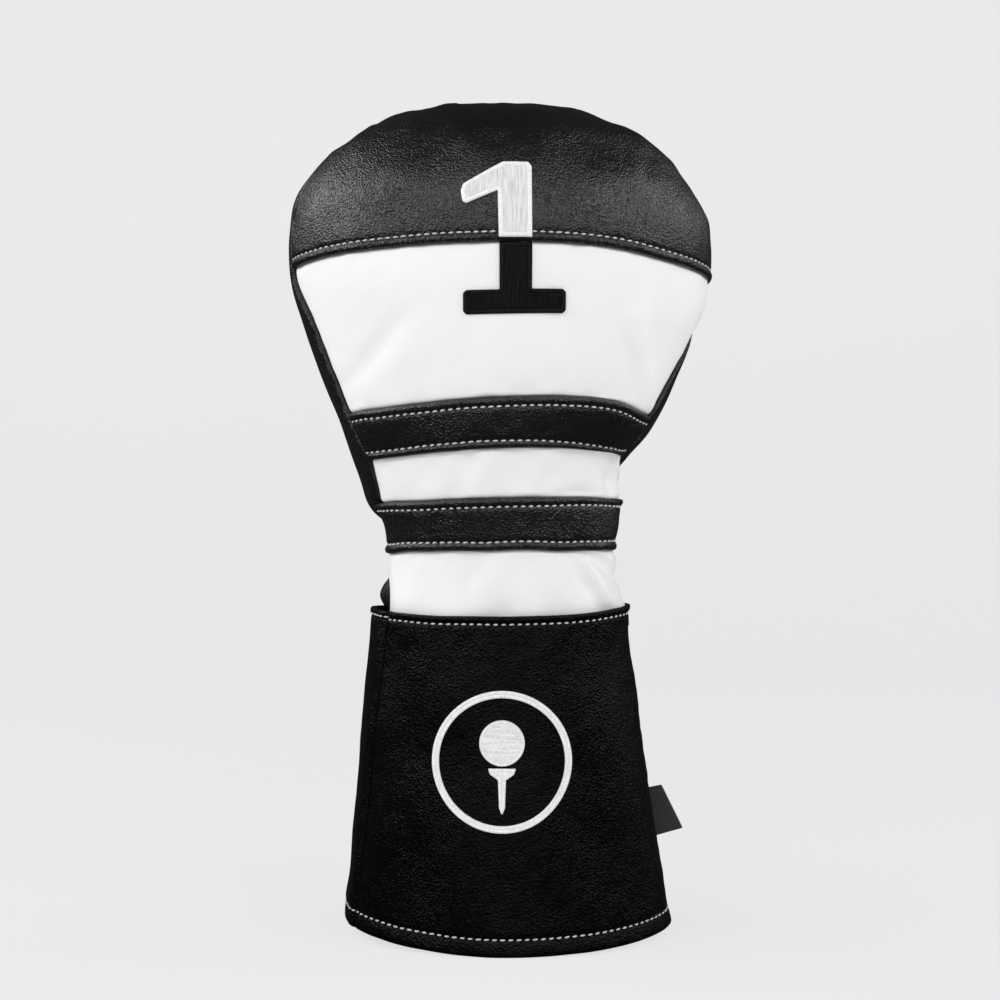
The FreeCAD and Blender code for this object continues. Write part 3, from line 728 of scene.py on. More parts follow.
crown_arc, crown_l, crown_r = arch_line("crown")
a_top, atl, atr = arch_line("band_a_top")
a_low, all_, alr = arch_line("band_a_low")
b_top_up, btl, btr = arch_line("band_b_top")
b_top_neck, bnl, bnr = arch_line("band_b_top", True)
b_low, bll, blr = arch_line("band_b_low", True)


def between(lo, hi, side, neck=False):
    return side_line(side, lo[1], hi[1], neck)


# skins' own small relief
fold_n, fold_m, tiny = waves(31, 19, stretch=(1, 1, 1.8)), waves(32, 9), waves(33, 5.5)


def pucker(p, edge, at, reach=1.4, depth=0.07, pitch=3.0):
    """The skin is drawn in between the holes of a stitch row."""
    s = p.sl
    return depth * np.cos(2 * math.pi * s / pitch) * np.exp(-((edge - at) / reach) ** 2)


def seam_ripple(p, P, depth=0.13, reach=5.0):
    """Ripples that run out from a side seam."""
    d = np.minimum(p.sl, p.sr)
    return depth * tiny(P * np.array([0.3, 0.3, 1.0])) * np.exp(-(d / reach) ** 2) * ramp(d, 0.2, 1.6)


def black_level(p, base=1.55, rows=True):
    P, _n = p.form.raw(p.phi, p.t)
    v = base + 0.10 * fold_n(P) + 0.05 * fold_m(P) + seam_ripple(p, P) + side_bulge(P)
    if rows:
        v = v + pucker(p, p.sb, 3.05) + pucker(p, p.st, 3.05)
    return v


# folds of the white panels, in the middle plane: start x, z, end x, z, height, width left, width right
FOLDS = [
    (54.2, 238.0, 58.5, 204.1, 1.15, 7.0, 2.6),
    (47.6, 231.4, 51.5, 216.9, -0.55, 3.0, 3.0),
    (-58.5, 213.0, -39.0, 237.2, -0.75, 4.0, 4.0),
    (-44.9, 211.8, -32.0, 233.3, 0.35, 5.0, 5.0),
    (-27.3, 233.3, -31.2, 217.7, 0.25, 4.0, 4.0),
    (-14.4, 204.1, -14.8, 227.4, -0.3, 4.0, 4.0),
    (-4.7, 206.0, -3.1, 225.5, 0.25, 7.0, 7.0),
    (9.8, 207.9, 8.6, 227.4, -0.3, 6.0, 6.0),
    (33.1, 207.6, 48.8, 209.1, -0.45, 12.0, 2.6),
    (-12.1, 185.7, -16.4, 167.8, -0.45, 3.2, 3.2),
    (-3.1, 186.5, -10.9, 167.8, 0.75, 4.5, 3.6),
    (18.7, 186.5, 9.8, 167.8, 0.7, 5.0, 4.0),
    (23.4, 169.3, 37.4, 170.1, -0.55, 3.0, 3.0),
    (44.1, 178.7, 43.7, 172.5, -1.0, 2.6, 2.6),
    (-9.8, 143.6, -12.5, 131.1, -0.55, 3.4, 3.4),
    (0.0, 145.6, -3.9, 128.0, 0.5, 5.0, 5.0),
    (34.7, 147.5, 45.6, 137.8, -1.5, 2.5, 2.0),
    (35.1, 141.3, 43.7, 126.4, 0.9, 3.6, 2.4),
    (30.0, 141.3, 40.2, 124.1, -0.7, 3.0, 3.0),
    (17.6, 143.6, 19.5, 128.0, 0.35, 7.0, 7.0),
]


def folds(P):
    bx, bz = board(P)
    total = np.zeros(bx.shape)
    for ax, az, ex, ez, h, wl, wr in FOLDS:
        dx, dz = ex - ax, ez - az
        L = math.hypot(dx, dz)
        along = ((bx - ax) * dx + (bz - az) * dz) / L
        across = ((bx - ax) * dz - (bz - az) * dx) / L * (1 if dz > 0 else -1)
        end = np.exp(-(np.maximum(-along, 0) / (1.6 * min(wl, wr))) ** 2 - (np.maximum(along - L, 0) / (1.6 * min(wl, wr))) ** 2)
        fade = 0.55 + 0.45 * np.sin(np.clip(along / L, 0, 1) * math.pi)
        total = total + 1.7 * h * end * fade * np.where(across < 0, np.exp(-(across / wl) ** 2), np.exp(-(across / wr) ** 2))
    total = np.where(total < -0.7, -0.7 - 0.65 * np.tanh((-0.7 - total) / 0.65), total)
    return total * (P[..., 1] < 10)


def side_bulge(P):
    """The right side swells a little where the back panel's tip begins."""
    return 1.1 * np.exp(-((P[..., 2] - 237.0) / 12.0) ** 2) * ramp(P[..., 0], 56, 67)


def white_level(p, base=0.0):
    P, _n = p.form.raw(p.phi, p.t)
    near = np.exp(-(p.sb / 6.0) ** 2) + np.exp(-(p.st / 6.0) ** 2)
    away = ramp(p.sb, 0.2, 1.6) * ramp(p.st, 0.2, 1.6) * ramp(np.minimum(p.sl, p.sr), 0.4, 4.0)
    return base + 0.10 * fold_n(P) + 0.04 * fold_m(P) + seam_ripple(p, P, 0.08) + 0.10 * fold_m(P) * near + folds(P) * away + side_bulge(P)


BLACKS, WHITES = "black_leather", "white_leather"

# ------------------------------------------------------------ leather, front
crown = Patch(head, side_line(-1, crown_l[1], TOP_CORNER), side_line(1, crown_r[1], TOP_CORNER), crown_arc, over_top(),
              ROLL, [(s, 1.55) for s in FINE], step=0.85, step_v=1.1, hold=5)
crown_off = crown.heights(black_level(crown, rows=False) + pucker(crown, crown.sb, 3.05), top=True)
P, _n = head.raw(crown.phi, crown.t)
crown_off = crown_off + 0.28 * tiny(P * np.array([1.0, 0.3, 0.3])) * np.exp(-(crown.st / 6.0) ** 2) * ramp(crown.st, 0.2, 2)
make("crown_leather", *shell(crown, crown_off), BLACK, ["crown_panel"], BLACKS)

upper = Patch(head, between(atl, crown_l, -1), between(atr, crown_r, 1), a_top, crown_arc, TUCK, TUCK, step=1.0, hold=5)
upper_off = upper.heights(white_level(upper))
make("upper_front_leather", *shell(upper, upper_off), WHITE, ["upper_front_panel"], WHITES)

band_a = Patch(head, between(all_, atl, -1), between(alr, atr, 1), a_low, a_top, ROLL, ROLL, step=0.75, step_v=1.0, hold=6)
band_a_off = band_a.heights(black_level(band_a))
make("upper_band_leather", *shell(band_a, band_a_off), BLACK, ["upper_band"], BLACKS)

mid = Patch(head, between(btl, all_, -1), between(btr, alr, 1), b_top_up, a_low, TUCK, TUCK, step=1.0, hold=6)
mid_off = mid.heights(white_level(mid))
make("mid_front_leather", *shell(mid, mid_off), WHITE, ["mid_front_panel"], WHITES)

band_b = Patch(head, between(bll, bnl, -1, True), between(blr, bnr, 1, True), b_low, b_top_neck, ROLL, ROLL, step=0.75, step_v=1.0, hold=6)
band_b_off = band_b.heights(black_level(band_b))
make("lower_band_leather", *shell(band_b, band_b_off), BLACK, ["lower_band"], BLACKS)

T118 = level(118.0)


def level_line(t, a, b, n=300, form=head):
    return Line(form, np.linspace(a, b, n), np.full(n, t))


def seam_at(t, side, neck=False, form=head):
    return float(seam_phi(form, np.array(t), side, neck))


neck = Patch(head, side_line(-1, T118, bll[1], True), side_line(1, T118, blr[1], True),
             level_line(T118, seam_at(T118, -1, True), seam_at(T118, 1, True)), b_low, PLAIN, TUCK, step=1.0, hold=6)
nP, _n = head.raw(neck.phi, neck.t)
neck_off = white_level(neck) + 0.55 * waves(41, 22, stretch=(1, 1, 1.2))(nP) * (1 - ramp(nP[..., 2], 126, 142))
neck_off = neck.heights(neck_off)
make("neck_front_leather", *shell(neck, neck_off), WHITE, ["neck_front_panel"], WHITES)

# ------------------------------------------------------------- leather, back
def wrap(phi):
    """Angle from 0 to 360 degrees, 180 at the back."""
    return np.degrees(np.mod(phi, 2 * math.pi))


def back_curve(name, drop, n=500):
    """Right seam to left seam round the back, along an arch lowered by drop."""
    u = np.linspace(0, 1, n)
    t = np.full(n, level(float(arch_z(name, 0.0))))
    for _ in range(40):
        a, b = seam_phi(head, t, -1), seam_phi(head, t, 1)
        phi = b + (a + 2 * math.pi - b) * u
        P, _q = head.at(phi, t)
        err = arch_z(name, P[:, 0]) - drop(wrap(phi)) - P[:, 2]
        t = t + np.clip(err * 0.8, -6, 6)
    return phi, t


def pouch_drop(deg):
    return 9.0 * np.exp(-((deg - 249.0) / 19.0) ** 2)


bphi, bt = back_curve("band_b_top", pouch_drop)
back_bottom = Line(head, bphi, bt)
back = Patch(head, side_line(1, bt[0], TOP_CORNER), side_line(-1, bt[-1], TOP_CORNER), back_bottom, over_top(True),
             [(0, -0.9), (0.15, -0.4), (0.45, 0.2), (0.9, 0.75), (1.6, 1.2), (2.6, 1.5)], [(s, 1.55) for s in FINE], step=1.25)
bP, _n = head.raw(back.phi, back.t)
deg, bz = wrap(back.phi), bP[..., 2]
right = ramp(180 - deg, 0, 40)
open_level = np.where(deg < 180, 0.9 - 0.9 * ramp(125 - deg, 0, 20), 1.1 + 0.4 * ramp(deg, 235, 262))
sliver = ramp(bz, 179, 187) * (1 - ramp(bz, 226, 236))
open_level = open_level + np.where(deg < 180, (1.5 - open_level) * sliver * ramp(128 - deg, 0, 18), 0)
open_level = open_level - np.where(deg < 130, 0.35 * (1 - ramp(bz, 176, 182)), 0)
pouch = 3.1 * np.exp(-((deg - 250.0) / 21.0) ** 2) * np.exp(-((bz - 165.0) / 8.0) ** 2)
gather = np.cos(np.radians(deg) * 20 + 1.2 * slow_b(bP)) * 0.9 + 0.5 * fold_m(bP)
gather = gather * (1 - ramp(bz, 170, 204)) * ramp(deg, 118, 135) * (1 - ramp(deg, 222, 240))
back_off = open_level + pouch + gather * 0.9 + 0.12 * fold_n(bP) + seam_ripple(back, bP, 0.28)
back_off = back_off + 0.28 * tiny(bP * np.array([1.0, 0.3, 0.3])) * np.exp(-(back.st / 6.0) ** 2) * ramp(back.st, 0.2, 2)
back_off = back.heights(back_off, top=True)
make("upper_back_leather", *shell(back, back_off), BLACK, ["upper_back_panel"], BLACKS)

nb_top_phi, nb_top_t = cross_curve(head, lambda x: arch_z("band_b_top", x), z0=168.0, front=False, neck=True)
nb = Patch(head, side_line(1, T118, nb_top_t[0], True), side_line(-1, T118, nb_top_t[-1], True),
           level_line(T118, seam_at(T118, 1, True), seam_at(T118, -1, True) + 2 * math.pi), Line(head, nb_top_phi, nb_top_t),
           PLAIN, [(0, -1.0), (0.2, -0.5), (0.6, -0.1), (1.4, 0.0)], step=0.9)
kP, _n = head.raw(nb.phi, nb.t)
deg, kz = wrap(nb.phi), kP[..., 2]
inside = ramp(nb.sl, 1.0, 7.0) * ramp(nb.sr, 1.0, 7.0)
pleat = 0.5 + 0.5 * np.cos(np.radians(deg) * 26 + 0.9 * slow_b(kP) + 0.5 * fold_n(kP))
pleat = np.abs(pleat) ** 0.7 * 2.1 - 0.9
tight = np.exp(-((kz - 156.0) / 15.0) ** 2)
nb_off = inside * (pleat * (0.35 + 0.65 * tight) + 0.9 * (1 - tight) * ramp(kz, 118, 140)) * (1 - ramp(kz, 161, 168) * 0.9)
nb_off = nb_off - 0.5 * tight
nb_off = nb_off * ramp(kz, 118, 127)
puff = 6.8 * (1 - ramp(kz, 128.0, 142.0)) * (0.08 + 0.92 * ramp(kz, 119.0, 129.5)) * np.exp(-((deg - 242.0) / 22.0) ** 2) * ramp(nb.sr, 0.3, 9.0)
nb_off = nb.heights(nb_off + puff)
make("neck_back_leather", *shell(nb, nb_off), BLACK, ["neck_back_panel"], BLACKS)

# --------------------------------------------------------------------- cuff
def hem_up(x):
    """The hem lifts a little at both sides."""
    return np.where(x < 0, 5.2, 2.6) * (x / 61.0) ** 2


CUFF_TOP_FIX = table([(-42, -1.4), (-37, -1.1), (-29, -0.9), (-22, -0.7), (-15, -0.33), (0, -0.1), (15, -0.2), (22, -0.36), (37, -0.55),
                      (44, -0.4)])


def cuff_top(x):
    return 123.9 + 2.3 * (x / 45.7) ** 2 + CUFF_TOP_FIX(x)


FOLD = [(0.0, -1.9), (-0.3, -1.35), (-0.42, -0.7), (-0.32, -0.1), (0.05, 0.32), (0.6, 0.52), (1.5, 0.55), (3.0, 0.42),
        (4.6, 0.2), (5.5, -0.08), (6.0, -0.2), (6.5, -0.1), (7.4, 0.12), (8.6, 0.2)]
CUFF_ROLL = [(0.0, -1.6), (-0.18, -1.1), (-0.28, -0.5), (-0.2, 0.05), (0.1, 0.38), (0.6, 0.52), (1.2, 0.5), (1.9, 0.25),
             (2.4, -0.05), (2.75, -0.2), (3.1, -0.1), (3.8, 0.08), (4.8, 0.16)]


def cuff_patch(front):
    low_phi, low_t = cross_curve(cuff, lambda x: 0.55 + hem_up(x), z0=1.0, front=front)
    hi_phi, hi_t = cross_curve(cuff, cuff_top, z0=124.0, front=front)
    first, last = (-1, 1) if front else (1, -1)
    turn = 0.0 if front else 2 * math.pi
    a = seam_curve(cuff, first, low_t[0], hi_t[0])
    b = seam_curve(cuff, last, low_t[-1], hi_t[-1])
    b = (b[0] + turn, b[1])
    return Patch(cuff, Line(cuff, *a), Line(cuff, *b), Line(cuff, low_phi, low_t), Line(cuff, hi_phi, hi_t), FOLD, CUFF_ROLL,
                 step=0.9, step_v=1.3)


def cuff_heights(p, front):
    P, _q = cuff.raw(p.phi, p.t)
    v = 0.18 + 0.16 * fold_n(P * np.array([1, 1, 0.7])) + 0.05 * fold_m(P) + seam_ripple(p, P, 0.07)
    v = v + pucker(p, p.sb, 6.0, depth=0.08) + pucker(p, p.st, 2.75, depth=0.07)
    if front:
        v = v - 0.35 * np.exp(-(p.sl / 7.0) ** 2)
    else:
        v = v + 0.35 * np.exp(-((p.sr - 3.4) / 2.4) ** 2)
    return p.heights(v)


cuff_f, cuff_b = cuff_patch(True), cuff_patch(False)
cuff_f_off, cuff_b_off = cuff_heights(cuff_f, True), cuff_heights(cuff_b, False)
make("cuff_front_leather", *shell(cuff_f, cuff_f_off), CUFF_BLACK_PAINTED_SHADE, ["cuff_front_panel"], BLACKS)
make("cuff_back_leather", *shell(cuff_b, cuff_b_off), CUFF_BLACK_PAINTED_SHADE, ["cuff_back_panel"], BLACKS)


def ring(form, loop, n=240, lift=None, a0=None, a1=None):
    """A closed ring swept round a form; loop is (height z, off) points in order.

    With a0 and a1 it runs only from one angle to the other and has end caps.
    """
    loop = np.array(loop, float)
    full = a0 is None
    phi = np.linspace(0, 2 * math.pi, n, endpoint=False) if full else np.linspace(a0, a1, n)
    rows = []
    for z, off in loop:
        t = np.full(n, form.t_of(z))
        P, _q = form.at(phi, t, np.full(n, off))
        if lift is not None:
            P[:, 2] += lift(P[:, 0])
        rows.append(P)
    G = np.array(rows)
    m = len(loop)
    idx = np.arange(m * n).reshape(m, n)
    faces = []
    for i in range(m):
        k = (i + 1) % m
        for j in range(n if full else n - 1):
            q = (j + 1) % n
            faces.append([idx[i, j], idx[i, q], idx[k, q], idx[k, j]])
    if not full:
        faces.append([idx[i, 0] for i in range(m)])
        faces.append([idx[i, n - 1] for i in range(m - 1, -1, -1)])
    return G.reshape(-1, 3), faces


def halves(form, z, neck=False):
    """(front start, front end, back start, back end) angles at a height."""
    t = np.array(form.t_of(z))
    a, b = float(seam_phi(form, t, -1, neck)), float(seam_phi(form, t, 1, neck))
    return a, b, b, a + 2 * math.pi


make("hem_facing_leather", *ring(cuff, [(0.5, -2.05), (0.2, -2.5), (0.35, -3.1), (1.2, -3.4), (13.2, -3.3), (13.9, -3.0), (14.1, -2.5),
                                        (13.8, -2.1), (13.0, -2.0), (1.2, -2.0)], 300, hem_up), CUFF_BLACK_PAINTED_SHADE, ["hem_facing"], BLACKS)
fa, fb, ba, bb = halves(head, 122.0, True)
for tag, a0, a1 in (("front", fa, fb), ("back", ba, bb)):
    m = 150
    phi = np.linspace(a0, a1, m)
    outer, inner = [], []
    for z in (118.2, 119.5, 121.0, 122.2):
        Po, _q = cuff.at(phi, np.full(m, cuff.t_of(z)), np.full(m, -1.7))
        Pi, _q = head.at(phi, np.full(m, head.t_of(z)), np.full(m, 0.35))
        outer.append(Po)
        inner.append(Pi)
    crest = [outer[-1] * 0.72 + inner[-1] * 0.28, outer[-1] * 0.38 + inner[-1] * 0.62]
    for k, c in enumerate(crest):
        c[:, 2] += 0.75 if k == 0 else 0.55
    loop = outer + crest + inner[::-1]
    G = np.array(loop)
    idx = np.arange(len(loop) * m).reshape(len(loop), m)
    faces = [[idx[i, j], idx[i, j + 1], idx[(i + 1) % len(loop), j + 1], idx[(i + 1) % len(loop), j]]
             for i in range(len(loop)) for j in range(m - 1)]
    faces += [[idx[i, 0] for i in range(len(loop))], [idx[i, m - 1] for i in range(len(loop) - 1, -1, -1)]]
    make("cuff_turned_edge_%s_leather" % tag, G.reshape(-1, 3), faces, CUFF_BLACK_PAINTED_SHADE, ["cuff_turned_edge_" + tag], BLACKS)


# -------------------------------------------------------------- soft layers
def layer(name, p, outer, inner, material, nodes, slot, bumpy=0.0, fill=None):
    P, _q = p.form.raw(p.phi, p.t)
    off = np.full((p.rows, p.cols), float(outer))
    inn = inner + (bumpy * waves(51, 7)(P) if bumpy else np.zeros((p.rows, p.cols)))
    Po, _q = p.form.at(p.phi, p.t, off)
    Pi, _q = p.form.at(p.phi, p.t, inn)
    n = p.rows * p.cols
    idx = np.arange(n).reshape(p.rows, p.cols)
    a, b, c, d = idx[:-1, :-1], idx[:-1, 1:], idx[1:, 1:], idx[1:, :-1]
    faces = np.stack([a, b, c, d], -1).reshape(-1, 4).tolist() + (np.stack([d, c, b, a], -1) + n).reshape(-1, 4).tolist()
    ring_ = [*idx[0, :-1], *idx[:-1, -1], *idx[-1, :0:-1], *idx[:0:-1, 0]]
    for k in range(len(ring_)):
        u, v = int(ring_[k]), int(ring_[(k + 1) % len(ring_)])
        faces.append([v, u, u + n, v + n])
    ob = make(name, np.concatenate([Po.reshape(-1, 3), Pi.reshape(-1, 3)]), faces, material, nodes, slot)
    return ob


SOFT = [0.0, 1.5, 4.0]
FLAT = [(0.0, 0.0), (1.2, 0.0), (3.0, 0.0)]


def dome(front, z0):
    t0 = level(z0)
    if front:
        low = level_line(t0, seam_at(t0, -1), seam_at(t0, 1))
        return Patch(head, side_line(-1, t0, TOP_CORNER), side_line(1, t0, TOP_CORNER), low, over_top(), FLAT, FLAT, step=3.2, fine=SOFT)
    low = level_line(t0, seam_at(t0, 1), seam_at(t0, -1) + 2 * math.pi)
    return Patch(head, side_line(1, t0, TOP_CORNER), side_line(-1, t0, TOP_CORNER), low, over_top(True), FLAT, FLAT, step=3.2, fine=SOFT)


for tag, front in (("front", True), ("back", False)):
    layer("head_padding_foam_" + tag, dome(front, 165.5), -1.75, -4.4, FOAM, ["head_padding_" + tag], "foam", fill=0.7)
    layer("head_lining_fleece_" + tag, dome(front, 146.5), -4.6, -6.9, FLEECE, ["head_lining_" + tag], "fleece", 0.22)
    t0, t1 = level(118.3), level(145.8)
    a = (seam_at(t0, -1, True), seam_at(t0, 1, True), seam_at(t1, -1, True), seam_at(t1, 1, True))
    if front:
        p = Patch(head, side_line(-1, t0, t1, True), side_line(1, t0, t1, True), level_line(t0, a[0], a[1]), level_line(t1, a[2], a[3]),
                  FLAT, FLAT, step=2.5, fine=SOFT)
    else:
        w = 2 * math.pi
        p = Patch(head, side_line(1, t0, t1, True), side_line(-1, t0, t1, True), level_line(t0, a[1], a[0] + w),
                  level_line(t1, a[3], a[2] + w), FLAT, FLAT, step=2.5, fine=SOFT)
    layer("neck_lining_fleece_" + tag, p, -1.9, -6.7, FLEECE, ["neck_lining_" + tag], "fleece", 0.25)
    t0, t1 = level(14.5, cuff), level(117.0, cuff)
    lines = [Line(cuff, *seam_curve(cuff, s, t0, t1)) for s in (-1, 1)]
    c0 = [seam_at(t0, s, form=cuff) for s in (-1, 1)]
    c1 = [seam_at(t1, s, form=cuff) for s in (-1, 1)]
    if front:
        p = Patch(cuff, lines[0], lines[1], level_line(t0, c0[0], c0[1], form=cuff), level_line(t1, c1[0], c1[1], form=cuff), FLAT, FLAT,
                  step=3.0, fine=SOFT)
    else:
        w = 2 * math.pi
        ph, tt = seam_curve(cuff, -1, t0, t1)
        p = Patch(cuff, lines[1], Line(cuff, ph + w, tt), level_line(t0, c0[1], c0[0] + w, form=cuff),
                  level_line(t1, c1[1], c1[0] + w, form=cuff), FLAT, FLAT, step=3.0, fine=SOFT)
    layer("cuff_lining_cloth_" + tag, p, -1.95, -3.3, LINING, ["cuff_lining_" + tag], "cuff_lining", 0.12)
make("neck_elastic_tape", *ring(head, [(146.4, -2.0), (165.0, -2.0), (165.2, -3.0), (165.0, -4.2), (146.4, -4.2), (146.2, -3.0)], 260), ELASTIC,
     ["neck_elastic"], "elastic")


# -------------------------------------------------------------- topstitching
def stitch_mesh(c, tan, nor, length, wide, tall, turn, sink=0.42):
    """One twisted stitch, its two ends drawn down into the skin."""
    side = unit(np.cross(nor, tan))
    tan, side = (tan * math.cos(turn) + side * math.sin(turn)), (side * math.cos(turn) - tan * math.sin(turn))
    n_a, n_s = 11, 12
    verts = []
    for i in range(n_a):
        u = -1 + 2 * i / (n_a - 1)
        r = math.sqrt(max(1 - abs(u) ** 3.2, 0.02))
        drop = -sink * abs(u) ** 2.6
        mid_ = c + tan * (u * length / 2) + nor * drop
        for k in range(n_s):
            th = 2 * math.pi * k / n_s
            ply = 1 + 0.13 * math.cos(2 * (th - u * length / 2 * 3.3))
            verts.append(mid_ + side * (math.cos(th) * wide / 2 * r * ply) + nor * (math.sin(th) * tall / 2 * r * ply))
    faces = [[i * n_s + k, i * n_s + (k + 1) % n_s, (i + 1) * n_s + (k + 1) % n_s, (i + 1) * n_s + k]
             for i in range(n_a - 1) for k in range(n_s)]
    faces.append([k for k in range(n_s - 1, -1, -1)])
    faces.append([(n_a - 1) * n_s + k for k in range(n_s)])
    return np.array(verts), faces


rng = np.random.default_rng(7)


def stitch_row(p, off_grid, s, from_top, pitch=3.0, length=2.15, wide=0.66, tall=0.55, skip=None, ends=(1.0, 1.0), up=0.16):
    """Stitches along a patch, s millimetres from its lower or upper edge."""
    d = p.st if from_top else p.sb
    pts, nor = [], []
    G, N = p.skin(off_grid)
    rows = range(p.rows)
    for j in range(p.cols):
        col = d[:, j]
        order = np.argsort(col)
        k = np.searchsorted(col[order], s)
        k = min(max(k, 1), len(col) - 1)
        i0, i1 = order[k - 1], order[k]
        w = (s - col[i0]) / max(col[i1] - col[i0], 1e-6)
        pts.append(G[i0, j] * (1 - w) + G[i1, j] * w)
        nor.append(N[i0, j])
    pts, nor = np.array(pts), np.array(nor)
    L = np.concatenate([[0], np.cumsum(np.linalg.norm(np.diff(pts, axis=0), axis=1))])
    n = int((L[-1] - ends[0] - ends[1]) / pitch)
    start = ends[0] + (L[-1] - ends[0] - ends[1] - n * pitch) / 2
    out = []
    for k in range(n + 1):
        a = start + k * pitch
        at = lambda q: np.array([np.interp(q, L, pts[:, i]) for i in range(3)])
        c = at(a)
        if skip is not None and skip(c):
            continue
        tan = unit(at(a + 0.9) - at(a - 0.9))
        nn = unit(np.array([np.interp(a, L, nor[:, i]) for i in range(3)]))
        nn = unit(nn - tan * (nn @ tan))
        hump = (at(a + 0.9) + at(a - 0.9)) / 2
        out.append(stitch_mesh(c + nn * (up + 0.02 * rng.normal()), tan, nn, length * (1 + 0.05 * rng.normal()), wide, tall,
                               math.radians(6 + 2.0 * rng.normal())))
    return out


def in_numeral(c):
    return -1.4 < c[0] < 11.6 and c[1] < 0


def off_row(c):
    """The row ends where the seam turns its line down."""
    return c[2] < cuff_top(c[0]) - 4.6


make("crown_stitches", *merge(stitch_row(crown, crown_off, 3.05, False, skip=in_numeral)), THREAD, ["crown_topstitch"], "thread")
make("upper_band_stitches", *merge(stitch_row(band_a, band_a_off, 3.05, True) + stitch_row(band_a, band_a_off, 3.05, False)), THREAD,
     ["upper_band_topstitch"], "thread")
make("lower_band_stitches", *merge(stitch_row(band_b, band_b_off, 3.05, True) + stitch_row(band_b, band_b_off, 3.05, False)), THREAD,
     ["lower_band_topstitch"], "thread")
make("cuff_top_stitches", *merge(stitch_row(cuff_f, cuff_f_off, 2.75, True, skip=off_row) + stitch_row(cuff_b, cuff_b_off, 1.9, True)), THREAD,
     ["cuff_topstitch"], "thread")
make("hem_stitches", *merge(stitch_row(cuff_f, cuff_f_off, 6.0, False) + stitch_row(cuff_b, cuff_b_off, 6.0, False)), THREAD,
     ["hem_topstitch"], "thread")


# ---------------------------------------------------------------- embroidery
def land(form, x, z, off):
    """Front points of a form that have the given x and z."""
    t = form.t_of(z)
    a, cx = form.fa(t)[0], form.fx(t)[0]
    phi = np.arcsin(np.clip((x - cx) / a, -0.95, 0.95))
    for _ in range(12):
        P, _q = form.at(phi, t, off)
        phi = phi + (x - P[..., 0]) / (form.fa(t)[0] * np.cos(phi))
        t = t + (z - P[..., 2])
    return phi, t


def rounded(points, radius, n=5):
    """Outline with its corners rounded."""
    pts = np.array(points, float)
    out = []
    m = len(pts)
    rad = np.broadcast_to(np.asarray(radius, float), (m,))
    for i in range(m):
        p, a, b = pts[i], pts[i - 1], pts[(i + 1) % m]
        u, v = (a - p), (b - p)
        lu, lv = np.linalg.norm(u), np.linalg.norm(v)
        u, v = u / lu, v / lv
        ang = math.acos(np.clip(u @ v, -1, 1))
        d = min(rad[i] / math.tan(ang / 2), lu * 0.45, lv * 0.45)
        s, e = p + u * d, p + v * d
        for k in range(n + 1):
            w = k / n
            out.append((1 - w) ** 2 * s + 2 * w * (1 - w) * p + w * w * e)
    return np.array(out)


def outline_fields(loops, X, Z):
    """Signed distance into the shape, and the place along the nearest outline."""
    q = np.stack([X, Z], -1).reshape(-1, 2)
    best = np.full(len(q), 1e9)
    along = np.zeros(len(q))
    near = np.zeros((len(q), 2))
    odd = np.zeros(len(q), bool)
    base = 0.0
    for loop in loops:
        run = base
        for i in range(len(loop)):
            a, b = loop[i], loop[(i + 1) % len(loop)]
            ab = b - a
            L = np.linalg.norm(ab)
            if L < 1e-9:
                continue
            w = np.clip(((q - a) @ ab) / (L * L), 0, 1)
            c = a + w[:, None] * ab
            d = np.linalg.norm(q - c, axis=1)
            m = d < best
            best[m], along[m], near[m] = d[m], run + w[m] * L, c[m]
            cond = (a[1] > q[:, 1]) != (b[1] > q[:, 1])
            with np.errstate(divide="ignore", invalid="ignore"):
                xi = a[0] + (q[:, 1] - a[1]) * ab[0] / (ab[1] if ab[1] else 1e-12)
            odd ^= cond & (q[:, 0] < xi)
            run += L
        base = run + 50
    d = np.where(odd, best, -best)
    return d.reshape(X.shape), along.reshape(X.shape), near.reshape(X.shape + (2,))


